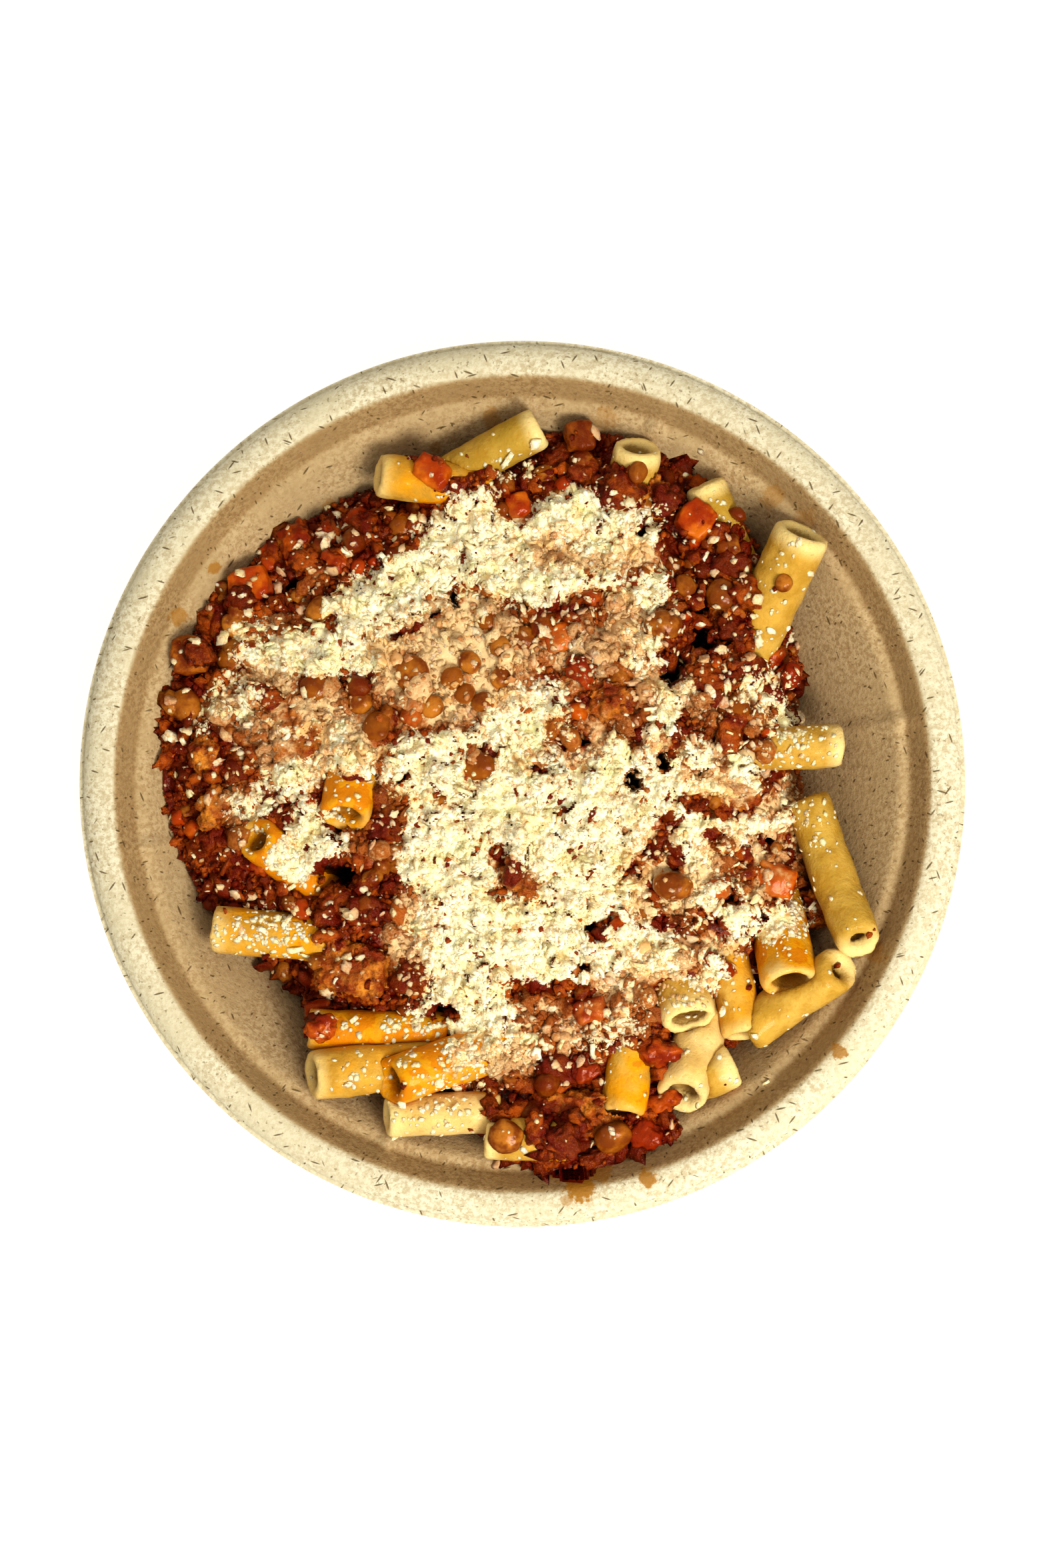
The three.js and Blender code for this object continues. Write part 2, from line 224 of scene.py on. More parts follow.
@dataclass(frozen=True)
class MouldedFibre(Finish):
    """Sugar-cane pulp pressed wet between two meshes and dried: mat, speckled, with short dark strands."""

    strand_length: float = 2.6
    strand_width: float = 0.42  # real strands are half this wide, which is too fine to show
    strand_turns: tuple[float, ...] = (0.3, 1.2, 2.2, 2.9)  # the ways that strands lie, in radians
    stains: tuple[tuple[float, float, float, float], ...] = ()  # x, y, radius and strength of each spot of oil

    def paint(self, tree: Tree, where: Socket) -> dict[str, Socket]:
        """Adds pulp mottling, painted shade inside the rim and on its steep step, strands and oil stains; see
        Finish.paint.
        """
        mottle, cloud, speck = (
            add_node(tree, "TexNoise", {"Vector": where, "Scale": 1 / (wide * MM), "Detail": fold, "Roughness": soft})
            for wide, fold, soft in ((1.1, 3, 0.7), (14, 2, 0.5), (0.9, 1, 0.5))
        )
        pulp = (("DAD0AF", mottle, {1: 0.36, 2: 0.62}), ("CABD99", cloud, {1: 0.65, 2: 0.3, 4: 0.7}))
        colour = self.coated(tree, linear("B9A883"), pulp)
        flat = add_node(tree, "VectorMath", {0: where, 1: (1, 1, 0)}, operation="MULTIPLY")
        radius = add_node(tree, "VectorMath", {0: flat}, "Value", operation="LENGTH")
        inner = add_node(tree, "MapRange", {0: radius, 1: 92.4 * MM, 2: 91.2 * MM}, **SOFT)  # inside the rim, which is painted darker as shade
        # painted shade: everything inside the rim's radius, the outside of the wall too, is darkened to a greyer tan
        painted_wall_shade = add_node(tree, "Mix", {0: 1.0, 6: colour, 7: linear("DDC8B0")}, 2, blend_type="MULTIPLY", **COLOURS)
        colour = add_node(tree, "Mix", {0: inner, 6: colour, 7: painted_wall_shade}, 2, **COLOURS)
        lower = add_node(tree, "MapRange", {0: radius, 1: 87.6 * MM, 2: 88.8 * MM, 4: 0.9}, **SOFT)  # the steep step below the rim, painted darker still as shade
        step = add_node(tree, "Math", {0: inner, 1: lower}, operation="MULTIPLY")
        # painted shade: the steep step is darkened further
        painted_step_shade = add_node(tree, "Mix", {0: 1.0, 6: colour, 7: linear("DED4C4")}, 2, blend_type="MULTIPLY", **COLOURS)
        colour = add_node(tree, "Mix", {0: step, 6: colour, 7: painted_step_shade}, 2, **COLOURS)
        facing = add_node(tree, "SeparateXYZ", {0: where.node.outputs["Normal"]}, "Z")
        upper = add_node(tree, "MapRange", {0: facing, 1: 0.0, 2: 0.1}, **SOFT)
        marks = [("6E5A3A", speck, {1: 0.66, 2: 0.74, 4: 0.55})]
        marks += [("54401F", self.strands(tree, where, turn), None) for turn in self.strand_turns]
        for spot in self.stains:
            share = add_node(tree, "Math", {0: self.stain(tree, where, flat, spot), 1: upper}, operation="MULTIPLY")
            marks.append(("9C6812", share, None))
        colour = self.coated(tree, colour, marks)
        relief = add_node(tree, "Bump", {"Height": mottle, "Distance": 0.25 * MM})
        return {"Base Color": colour, "Normal": relief}

    def strands(self, tree: Tree, where: Socket, turn: float) -> Socket:
        """Adds short strands that all lie one way.

        Args:
            tree: the material's node tree.
            where: the place on the object, in metres.
            turn: which way they lie, in radians.

        Returns:
            The socket of how much strand there is.
        """
        turned = add_node(tree, "Mapping", {"Vector": where, "Rotation": (0, 0, turn)})
        scale = (1 / (3.5 * self.strand_length * MM), 1 / (3.5 * self.strand_width * MM), 1 / (3 * MM))
        cell = add_node(tree, "VectorMath", {0: turned, 1: scale}, operation="MULTIPLY")
        near = add_node(tree, "TexVoronoi", {"Vector": cell, "Scale": 1.0}, "Distance")
        some = add_node(tree, "SeparateXYZ", {0: near.node.outputs["Color"]}, "X")
        few = add_node(tree, "MapRange", {0: some, 1: 0.6, 2: 0.65, 4: 0.85}, **SOFT)
        strand = add_node(tree, "MapRange", {0: near, 1: 0.17, 2: 0.1}, **SOFT)
        return add_node(tree, "Math", {0: strand, 1: few}, operation="MULTIPLY")

    def stain(self, tree: Tree, where: Socket, flat: Socket, spot: tuple[float, ...]) -> Socket:
        """Adds one uneven spot of oil that has soaked in.

        Args:
            tree: the material's node tree.
            where: the place on the object, in metres.
            flat: the same place at height 0.
            spot: its x, y and radius in mm, and its strength.

        Returns:
            The socket of how much oil there is.
        """
        x, y, radius, strength = spot
        away = add_node(tree, "VectorMath", {0: flat, 1: (x * MM, y * MM, 0)}, "Value", operation="DISTANCE")
        edge = add_node(tree, "TexNoise", {"Vector": where, "Scale": 1 / (1.8 * MM), "Detail": 3, "Roughness": 0.65})
        uneven = add_node(tree, "Math", {0: edge, 1: -1.9 * radius * MM, 2: away}, operation="MULTIPLY_ADD")
        reach = {0: uneven, 1: 0.12 * radius * MM, 2: -0.3 * radius * MM, 4: strength}
        return add_node(tree, "MapRange", reach, **SOFT)


@dataclass(frozen=True)
class CookedPasta(Finish):
    """Durum wheat pasta, boiled and dressed: smooth, waxy, a little see-through, with orange oil on it."""

    def paint(self, tree: Tree, where: Socket) -> dict[str, Socket]:
        """Adds the tint of oil and sauce, each tube's painted shade, painted shade inside the bore, the pale cut edge
        and fine pits; see Finish.paint.
        """
        blotch, fine = (
            add_node(tree, "TexNoise", {"Vector": where, "Scale": 1 / (width * MM), "Detail": 3, "Roughness": 0.6})
            for width in (5, 0.9)
        )
        painted_tube_shade, sauced, inside, edge = (
            add_node(tree, "Attribute", out="Fac", attribute_name=name)
            for name in ("painted_tube_shade", "sauced", "inside", "edge")
        )
        patchy = add_node(tree, "MapRange", {0: blotch, 1: 0.3, 2: 0.62, 3: -0.15, 4: 1.0}, **SOFT)
        oily = add_node(tree, "Math", {0: patchy, 1: sauced, 2: sauced}, operation="MULTIPLY_ADD", use_clamp=True)
        colour = self.coated(tree, linear("BC8C34"), (
            ("D4AA52", blotch, {1: 0.35, 2: 0.65}),
            # painted shade per tube, darker and greener; below zero it is painted light, paler
            ("A08026", painted_tube_shade, None),
            ("F2DCA0", painted_tube_shade, {1: 0.0, 2: -1.0}),
            ("F0D690", edge, None),
            ("DA9408", oily, {1: 0.05, 2: 0.9}),
            ("C86C0A", oily, {1: 0.92, 2: 1.0, 4: 0.6}),
            ("B4761E", fine, {1: 0.42, 2: 0.3, 4: 0.35}),
            # painted shade deep inside the bore
            ("9C7434", inside, None),
        ))
        relief = add_node(tree, "Bump", {"Height": fine, "Distance": 0.24 * MM})
        return {"Base Color": colour, "Normal": relief}


@dataclass(frozen=True)
class StewedFood(Finish):
    """Food cooked in the sauce: wet and glossy, painted darkest in its hollows as shade, milky under melted cheese.
    """

    gloss: float = 0.3
    coat: float = 0.24
    sheen: str = "F08C50"
    # the colour of the painted shade in hollows and gaps
    dark: str = "160300"
    middle: str = "641E05"
    bright: str = "A04A18"
    red: str = "681401"
    speck: float = 0.9  # how wide its grain is, in mm
    rough: float = 0.35  # how high its grain is, in mm

    def paint(self, tree: Tree, where: Socket) -> dict[str, Socket]:
        """Adds blotches, painted shade in the hollows, melted cheese and a wet relief; see Finish.paint."""
        blotch, fine = (
            add_node(tree, "TexNoise", {"Vector": where, "Scale": 1 / (width * MM), "Detail": 3, "Roughness": soft})
            for width, soft in ((5, 0.6), (self.speck, 0.65))
        )
        shade, painted_shade_and_soak, milky = (
            add_node(tree, "Attribute", out="Fac", attribute_name=name) for name in ("shade", "painted_shade_and_soak", "milky")
        )
        mixed = add_node(tree, "Math", {0: fine, 1: shade}, operation="ADD")
        veiled = add_node(tree, "Math", {0: fine, 1: 0.5, 2: milky}, operation="MULTIPLY_ADD")
        colour = self.coated(tree, linear(self.middle), (
            (self.bright, mixed, {1: 0.6, 2: 1.4}),
            (self.red, blotch, {1: 0.58, 2: 0.38}),
            ("B0682A", veiled, {1: 0.55, 2: 0.95, 4: 0.85}),
            ("EACA92", veiled, {1: 0.8, 2: 1.2, 4: 0.92}),
            # painted shade in hollows and gaps
            (self.dark, painted_shade_and_soak, None),
        ))
        relief = add_node(tree, "Bump", {"Height": fine, "Distance": self.rough * MM})
        return {"Base Color": colour, "Normal": relief, "Coat Normal": relief}


@dataclass(frozen=True)
class GratedCheese(Finish):
    """Hard aged cheese grated to powder and shreds: dry and mat, cream white, pinkish where sauce wets it."""

    crumb: float = 1.3  # how wide its grains are, in mm

    def paint(self, tree: Tree, where: Socket) -> dict[str, Socket]:
        """Adds painted shade between grains and in low places, brown specks and the sauce soaked up; see
        Finish.paint.
        """
        fine, blotch, drawn, speck = (
            add_node(tree, "TexNoise", {"Vector": where, "Scale": 1 / (wide * MM), "Detail": fold, "Roughness": soft})
            for wide, fold, soft in ((0.8, 3, 0.6), (5, 2, 0.5), (8, 5, 0.62), (1.5, 1, 0.5))
        )
        shift = {0: fine.node.outputs[1], 1: (0.9 * MM,) * 3, 2: where}
        bent = add_node(tree, "VectorMath", shift, operation="MULTIPLY_ADD")
        cells = {"Vector": bent, "Scale": 1 / (self.crumb * MM)}
        border = add_node(tree, "TexVoronoi", cells, "Distance", feature="DISTANCE_TO_EDGE")
        shade, painted_shade_and_soak, milky = (
            add_node(tree, "Attribute", out="Fac", attribute_name=name) for name in ("shade", "painted_shade_and_soak", "milky")
        )
        shaded = add_node(tree, "Math", {0: shade, 1: 0.6}, operation="MULTIPLY")
        crisp = add_node(tree, "MapRange", {0: speck, 1: 0.35, 2: 0.6, 3: 0.1, 4: 0.6}, **SOFT)
        away = add_node(tree, "Math", {0: drawn, 1: 0.5, 2: 0.0}, operation="SUBTRACT")
        away = add_node(tree, "Math", {0: away}, operation="ABSOLUTE")
        vein = add_node(tree, "MapRange", {0: away, 1: 0.032, 2: 0.004}, **SOFT)
        soaked = add_node(tree, "MapRange", {0: milky, 1: 0.0, 2: 0.8, 3: 0.2, 4: 0.75}, **SOFT)
        veined = add_node(tree, "Math", {0: vein, 1: soaked}, operation="MULTIPLY")
        patchy = add_node(tree, "MapRange", {0: drawn, 1: 0.42, 2: 0.6, 3: 0.25, 4: 1.1}, **SOFT)
        wet = add_node(tree, "Math", {0: patchy, 1: milky}, operation="MULTIPLY")
        colour = self.coated(tree, linear("F8EBB6"), (
            ("FFFCDA", fine, {1: 0.36, 2: 0.6}),
            ("FAF2B4", blotch, {1: 0.42, 2: 0.68, 4: 0.9}),
            # painted shade in the layer's low places, sauce showing through thin cheese, and a random tone on loose
            # grains
            ("E6B868", shaded, None),
            # painted shade in the gaps between grains
            ("C07E34", border, {1: 0.09, 2: 0.02, 4: crisp}),
            ("CC8038", veined, None),
            ("DEAA66", wet, {1: 0.3, 2: 1.05, 4: 0.9}),
            ("A4642C", speck, {1: 0.68, 2: 0.74, 4: 0.6}),
            # painted shade in low places and at the foot of loose grains, and sauce soaked into grains
            ("A85A20", painted_shade_and_soak, None),
        ))
        relief = add_node(tree, "Bump", {"Height": border, "Distance": 0.12 * MM})
        return {"Base Color": colour, "Normal": relief}


@dataclass(frozen=True)
class StudioPaper(Finish):
    """White translucent sheet lit from below, as a packing table for small goods has: it lightens every shadow."""

    glow: float = 0.37

    def paint(self, tree: Tree, where: Socket) -> dict[str, Socket]:
        """Adds a barely uneven white; see Finish.paint."""
        tooth = add_node(tree, "TexNoise", {"Vector": where, "Scale": 1 / (400 * MM), "Detail": 1})
        colour = self.coated(tree, linear("F8F8F8"), (("FBFBFB", tooth, {1: 0.3, 2: 0.7}),))
        shader = tree.nodes["Principled BSDF"]
        shader.inputs["Emission Strength"].default_value = self.glow
        shader.inputs["Emission Color"].default_value = linear("FFFFFF")
        return {"Base Color": colour}


OIL_STAINS = (
    (71, -60, 1.9, 0.85), (57, 65.5, 3, 0.45), (-7, 84, 2.2, 0.55), (19, 83.5, 3, 0.35), (-70.5, 49.5, 1.5, 0.8),
    (-78.5, 38, 2.3, 0.7), (79.5, -38, 2.6, 0.5), (8, -86.5, 3.6, 0.9), (13, -90.5, 3.6, 0.95), (28, -88.5, 2.2, 0.9),
    (-77, 31, 2.2, 0.5), (3, -85, 3, 0.7), (-45, 64.5, 1.8, 0.6), (-67, 46, 3, 0.6), (18, -87, 2.8, 0.7),
    (-79.5, 17, 2, 0.5), (-20, 78, 1.5, 0.5), (64, 60, 2.4, 0.35), (10, -93.5, 1.8, 0.6),
)

FIBRE = MouldedFibre("sugarcane_fibre_moulded", 0.9, ior=1.45, gloss=0.3, stains=OIL_STAINS)
PASTA = CookedPasta(
    "durum_pasta_boiled", 0.4, ior=1.45, gloss=0.35, depth=0.25, reach=(1.6, 0.9, 0.35), coat=0.1, sheen="F0C070"
)
SAUCE = StewedFood("meat_sauce_stewed", 0.3, middle="5A1802", bright="9A3C0A", red="5E1001")
MINCE = StewedFood(
    "beef_mince_browned", 0.32, coat=0.28, middle="94420A", bright="DE8E30", red="86300A", speck=0.8, rough=0.6
)
CRUMB = StewedFood("beef_crumbs_browned", 0.4, middle="6A2203", bright="AA5010", red="681502", speck=0.7, rough=0.55)
CARROT = StewedFood(
    "carrot_stewed", 0.28, depth=0.1, coat=0.2, dark="4A0E01", middle="A43C06", bright="C86A10", red="942E04",
    speck=1.6, rough=0.2,
)
TOMATO = StewedFood(
    "tomato_stewed", 0.26, depth=0.1, coat=0.22, dark="280501", middle="8A2A04", bright="BC5A12", red="7C2003",
    speck=1.4, rough=0.25,
)
MUSHROOM = StewedFood(
    "mushroom_stewed", 0.34, coat=0.2, sheen="F0A060", middle="7E3A0A", bright="AA6018", red="6A2604", rough=0.25
)
CELERY = StewedFood(
    "onion_celery_stewed", 0.3, coat=0.2, sheen="F0A060", middle="7C3A08", bright="A86820", red="6A2404", rough=0.2
)
LENTIL = StewedFood(
    "lentil_boiled", 0.34, sheen="F0A060", middle="8A4A0C", bright="B47022", red="743608", speck=1.2, rough=0.12
)
CHEESE = GratedCheese("hard_cheese_grated", 0.75, ior=1.45, gloss=0.25, depth=0.45, reach=(1.5, 1.2, 0.8))
PAPER = StudioPaper("lit_table_sheet", 0.95)


# ---- Mesh tools -----------------------------------------------------------------------------------------


def clamp(value: float, low: float = 0.0, high: float = 1.0) -> float:
    """Returns a number kept between two limits."""
    return min(max(value, low), high)


def placed(name: str, data: bpy.types.ID) -> Piece:
    """Returns a new object with that mesh, light or camera, in the scene."""
    made = bpy.data.objects.new(name, data)
    bpy.context.scene.collection.objects.link(made)
    return made


def corners_of(data: bpy.types.Mesh) -> Array:
    """Returns the place of each of a mesh's vertices, in metres."""
    places = np.empty(len(data.vertices) * 3, np.float32)
    data.vertices.foreach_get("co", places)
    return places.reshape(-1, 3)


def flat_sheet(half: float, pitch: float) -> tuple[Form, Array]:
    """Returns a square sheet of small faces around the bowl's middle, and its vertices' places in mm."""
    mesh = bmesh.new()
    count = round(2 * half / pitch)
    bmesh.ops.create_grid(mesh, x_segments=count, y_segments=count, size=half * MM)
    return mesh, np.array([vert.co for vert in mesh.verts]) / MM


def number_layers(mesh: Form, *names: str) -> list[bmesh.types.BMLayerItem]:
    """Returns new layers of numbers on a mesh's vertices, one for each name."""
    return [mesh.verts.layers.float.new(name) for name in names]


def merged_copy(node: Piece) -> Form:
    """Returns a copy of a solid's mesh with its loose triangles joined up, in metres."""
    mesh = bmesh.new()
    mesh.from_mesh(node.data)
    bmesh.ops.remove_doubles(mesh, verts=mesh.verts, dist=0.002 * MM)
    return mesh


def reskinned(mesh: Form, cell: float, rounds: int) -> Form:
    """Gives a closed form an even skin of small faces and relaxes its edges.

    Args:
        mesh: the form, which is used up.
        cell: how wide a face is, in mm.
        rounds: how often the skin is relaxed.

    Returns:
        The new form.
    """
    data = bpy.data.meshes.new("form")
    mesh.to_mesh(data)
    mesh.free()
    holder = placed("form", data)
    skin = holder.modifiers.new("skin", "REMESH")
    skin.mode = "VOXEL"
    skin.voxel_size = cell * MM
    graph = bpy.context.evaluated_depsgraph_get()
    result = bmesh.new()
    evaluated = holder.evaluated_get(graph)
    result.from_mesh(evaluated.to_mesh())
    evaluated.to_mesh_clear()
    bpy.data.objects.remove(holder)
    bpy.data.meshes.remove(data)
    for _ in range(rounds):
        bmesh.ops.smooth_vert(
            result, verts=result.verts, factor=0.5, use_axis_x=True, use_axis_y=True, use_axis_z=True
        )
    result.normal_update()
    return result


def finished(
    name: str,
    mesh: Form | bpy.types.Mesh,
    finish: Finish,
    replaces: Sequence[str] = (),
) -> Piece:
    """Turns a mesh into a piece of the dish.

    Args:
        name: the piece's name.
        mesh: its mesh, in metres and in place.
        finish: what it is made of.
        replaces: the solids that it stands for.

    Returns:
        The piece.
    """
    if isinstance(mesh, Form):
        data = bpy.data.meshes.new(name)
        mesh.to_mesh(data)
        mesh.free()
    else:
        data = mesh
        data.name = name
    data.polygons.foreach_set("use_smooth", [True] * len(data.polygons))
    data.materials.append(finish.material())
    piece = placed(name, data)
    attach(piece, BODY)
    if replaces:
        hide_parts(*replaces)
    LOG.info("%s: %d faces of %s", name, len(data.polygons), finish.name)
    return piece


def crag(place: Vector, size: float) -> float:
    """Returns the height of close-packed uneven lumps at a place in mm: up to about 1, and -1 in their cracks."""
    away, lumps = noise.voronoi(place / size)
    lean = noise.cell_vector(lumps[0] * 5.3)
    off = place / size - lumps[0]
    top = 1.1 * lean.z + 1.6 * ((lean.x - 0.5) * off.x + (lean.y - 0.5) * off.y) - 1.1 * away[0] ** 2
    crack = min((away[1] - away[0]) * 3.2, 1.0)
    return top * crack - (1 - crack) * 0.9 + 0.1


def stored(mesh: Form, name: str, value: Callable[[bmesh.types.BMVert], float]) -> None:
    """Stores a number on each vertex for the finish to read.

    Args:
        mesh: the mesh.
        name: the attribute's name.
        value: gives the number for a vertex.
    """
    layer = mesh.verts.layers.float.new(name)
    for vert in mesh.verts:
        vert[layer] = value(vert)


@dataclass
class HeightField:
    """Heights on a square lattice around the bowl's middle, in mm, with what lies there."""

    half: float
    heights: Array
    ground: Array | None = None

    @property
    def pitch(self) -> float:
        """How far the lattice's points are apart, in mm."""
        return 2 * self.half / (self.heights.shape[0] - 1)

    @staticmethod
    def lattice(half: float, pitch: float) -> tuple[Array, Array]:
        """Returns the x and y of each point of a lattice about that fine, in mm."""
        steps = np.linspace(-half, half, round(2 * half / pitch) + 1)
        return np.meshgrid(steps, steps, indexing="ij")

    def at(self, x: Array, y: Array) -> Array:
        """Returns the heights at places between the lattice's points."""
        u = np.clip((np.asarray(x) + self.half) / self.pitch, 0, self.heights.shape[0] - 1.001)
        v = np.clip((np.asarray(y) + self.half) / self.pitch, 0, self.heights.shape[1] - 1.001)
        i, j = u.astype(int), v.astype(int)
        a, b = u - i, v - j
        h = self.heights
        near = h[i, j] * (1 - b) + h[i, j + 1] * b
        far = h[i + 1, j] * (1 - b) + h[i + 1, j + 1] * b
        return near * (1 - a) + far * a

    def ground_at(self, x: Array, y: Array) -> Array:
        """Returns the number of the Ground at each place."""
        i = np.clip(np.rint((x + self.half) / self.pitch).astype(int), 0, self.heights.shape[0] - 1)
        j = np.clip(np.rint((y + self.half) / self.pitch).astype(int), 0, self.heights.shape[1] - 1)
        return self.ground[i, j]

    def normals(self, x: Array, y: Array) -> Array:
        """Returns the direction square to the surface at each place."""
        step = self.pitch
        slope_x = (self.at(x + step, y) - self.at(x - step, y)) / (2 * step)
        slope_y = (self.at(x, y + step) - self.at(x, y - step)) / (2 * step)
        normals = np.stack([-slope_x, -slope_y, np.ones_like(slope_x)], axis=1)
        return normals / np.linalg.norm(normals, axis=1, keepdims=True)

    def raised_to(self, layer: Piece) -> HeightField:
        """Returns the field with a thin layer's points laid on it, wherever they are higher."""
        x, y, z = (corners_of(layer.data) / MM).T
        heights, last = self.heights.copy(), self.heights.shape[0] - 1
        spots = [np.clip(np.rint((side + self.half) / self.pitch).astype(int), 0, last) for side in (x, y)]
        np.maximum.at(heights, tuple(spots), z)
        return HeightField(self.half, heights, self.ground)

    @classmethod
    def over(cls, pieces: dict[Piece, Ground], half: float, pitch: float) -> HeightField:
        """Reads the topmost surface of some pieces.

        Args:
            pieces: the pieces, each with the ground that it makes.
            half: how far the lattice reaches from the middle, in mm.
            pitch: how far its points are apart, in mm.

        Returns:
            The height field.
        """
        corners, faces, kinds, start = [], [], [], 0
        for piece, kind in pieces.items():
            data = piece.data
            data.calc_loop_triangles()
            tris = np.empty(len(data.loop_triangles) * 3, np.int32)
            data.loop_triangles.foreach_get("vertices", tris)
            corners.append(corners_of(data))
            faces.append(tris.reshape(-1, 3) + start)
            kinds.append(np.full(len(data.loop_triangles), kind.value))
            start += len(data.vertices)
        tree = BVHTree.FromPolygons(
            np.concatenate(corners).tolist(), np.concatenate(faces).tolist(), all_triangles=True
        )
        kind_of = np.concatenate(kinds)
        x, y = cls.lattice(half, pitch)
        heights, ground = np.zeros_like(x), np.zeros(x.shape, int)
        down = Vector((0, 0, -1))
        for index in np.ndindex(x.shape):
            spot = Vector((x[index] * MM, y[index] * MM, 0.1))
            place, _, face, _ = tree.ray_cast(spot, down)
            if place is None:  # it may slip between two faces
                place, _, face, _ = tree.ray_cast(spot + Vector((0.013, 0.017, 0)) * MM, down)
            if place is not None:
                heights[index] = place.z / MM
                ground[index] = kind_of[face]
        return cls(half, heights, ground)


# ---- The bowl -------------------------------------------------------------------------------------------


@dataclass
class BowlShell:
    """The pressed bowl: a flat foot, a steep wall, a ledge with six small lugs, and a rolled-over rim."""

    wall: float = 1.2
    steps: int = 360
    lug_count: int = 6
    lug_first: float = 9.5  # degrees from +X
    lug_length: float = 7.0
    lug_width: float = 2.4
    lug_rise: float = 2.6
    profile: tuple[tuple[float, float], ...] = (
        (0, 2.2), (40, 2.2), (43, 1.2), (53, 1.2), (58.4, 3.6), (62, 8.7), (85.4, 41.1), (86.4, 42), (88.5, 42.6),
        (91.2, 48.7), (93.2, 50), (96.4, 50), (98.7, 48.6), (98.9, 47), (100, 47),
    )
    node: str = "bowl"

    def rounded(self) -> list[tuple[float, float]]:
        """Returns the upper face's line with its corners eased as pressed pulp eases them."""
        line = list(self.profile)
        for reach in (0.7, 0.35):
            eased = [line[0]]
            for (ax, ay), (bx, by) in zip(line, line[1:]):
                cut = min(0.25, reach / max(math.hypot(bx - ax, by - ay), 1e-6))
                eased.append((ax + (bx - ax) * cut, ay + (by - ay) * cut))
                eased.append((bx - (bx - ax) * cut, by - (by - ay) * cut))
            line = eased + [line[-1]]
        return line

    def inner_height(self, radius: Array) -> Array:
        """Returns the height of the upper face at each radius, in mm."""
        xs, ys = zip(*self.profile)
        return np.interp(radius, xs, ys)

    def lug_height(self, x: float, y: float) -> float:
        """Returns how far the lugs lift the ledge at a place, in mm."""
        radius, angle = math.hypot(x, y), math.degrees(math.atan2(y, x)) - self.lug_first
        pitch = 360 / self.lug_count
        away = math.radians((angle + pitch / 2) % pitch - pitch / 2) * radius
        across = (radius - 86.6) / self.lug_length * 2
        return self.lug_rise * math.exp(-(across**2) - (2 * away / self.lug_width) ** 2)

    def build(self) -> Piece:
        """Spins the bowl's line round, raises the lugs and gives the shell its thickness."""
        mesh = bmesh.new()
        verts = [mesh.verts.new((x * MM, 0, z * MM)) for x, z in self.rounded()]
        edges = [mesh.edges.new(pair) for pair in zip(verts, verts[1:])]
        bmesh.ops.spin(
            mesh, geom=verts + edges, cent=(0, 0, 0), axis=(0, 0, 1), dvec=(0, 0, 0), angle=2 * math.pi,
            steps=self.steps, use_merge=True,
        )
        bmesh.ops.remove_doubles(mesh, verts=mesh.verts, dist=0.01 * MM)
        bmesh.ops.recalc_face_normals(mesh, faces=mesh.faces)
        middle = min(mesh.faces, key=lambda f: f.calc_center_median().xy.length)
        if middle.normal.z < 0:
            bmesh.ops.reverse_faces(mesh, faces=mesh.faces)
        for vert in mesh.verts:
            vert.co.z += self.lug_height(vert.co.x / MM, vert.co.y / MM) * MM
        bmesh.ops.solidify(mesh, geom=mesh.faces, thickness=self.wall * MM)
        return finished(self.node, mesh, FIBRE, [self.node])


# ---- Where things lie -----------------------------------------------------------------------------------


@dataclass(frozen=True)
class Patch:
    """An oval on the dish, in mm: its middle, half its length and width, its turn and how strong it is."""

    x: float
    y: float
    rx: float
    ry: float
    weight: float = 1.0
    turn: float = 0.0

    def at(self, x: Array, y: Array) -> Array:
        """Returns its strength at each place: full inside, then fading out past its edge."""
        c, s = math.cos(math.radians(self.turn)), math.sin(math.radians(self.turn))
        dx, dy = x - self.x, y - self.y
        away = np.hypot((dx * c + dy * s) / self.rx, (-dx * s + dy * c) / self.ry)
        return self.weight * np.clip(1.75 - 1.25 * away, 0, 1)


def patches(*rows: tuple[float, ...]) -> tuple[Patch, ...]:
    """Returns a patch for each row, which holds its numbers in the order of Patch's own."""
    return tuple(Patch(*row) for row in rows)


def strongest(laid: Sequence[Patch], x: Array, y: Array) -> Array:
    """Returns the strength of the strongest patch at each place."""
    return np.max([patch.at(x, y) for patch in laid], axis=0)


PITS = patches(  # deep gaps that go through cheese and sauce, also painted dark as shade
    (-42.5, -20.5, 5.5, 2.8), (-42, -9.5, 3, 1.8), (68, -36.5, 4, 3), (25, 1, 2.2, 2), (32, 5, 1.8, 1.8),
    (41, 2, 2, 1.4), (13, -42, 1.2, 1.8), (-18, -52, 3, 1.6), (-3, -71, 2, 2), (21, -31, 1.8, 1.4),
    (16, -33.5, 1.5, 1.5), (54, -30, 1.6, 1.2), (44.5, -31.5, 1.2, 2.4), (-53, 46, 3.5, 1.6), (44, -6, 2, 0.9),
    (57, -12, 1.4, 1.2), (-20, 40, 1.4, 1.4), (47, -26.5, 1.6, 1), (27, 58, 1.6, 1), (-16, 42, 1.4, 1.2),
    (13, 10, 1.5, 1.2), (-48, 9, 1.4, 1), (34.5, 26, 2, 3.6, 1, -30), (22, 24, 1.4, 1.2), (41, 40, 2.5, 2),
    (41, 33, 2.4, 3.6), (46, 34, 1.8, 2.4), (-27, 1.5, 1.6, 1),
)


def clouded(x: Array, y: Array, *parts: tuple[float, float, float]) -> Array:
    """Works out a smooth unevenness.

    Args:
        x: across the dish, in mm.
        y: along the dish, in mm.
        *parts: how strong each part is, a number that sets it apart from the others, and how wide it is in mm.

    Returns:
        The unevenness at each place.
    """
    values = [
        sum(strength * noise.noise(Vector((a, b, apart)) / width) for strength, apart, width in parts)
        for a, b in zip(np.ravel(x), np.ravel(y))
    ]
    return np.array(values).reshape(np.shape(x))


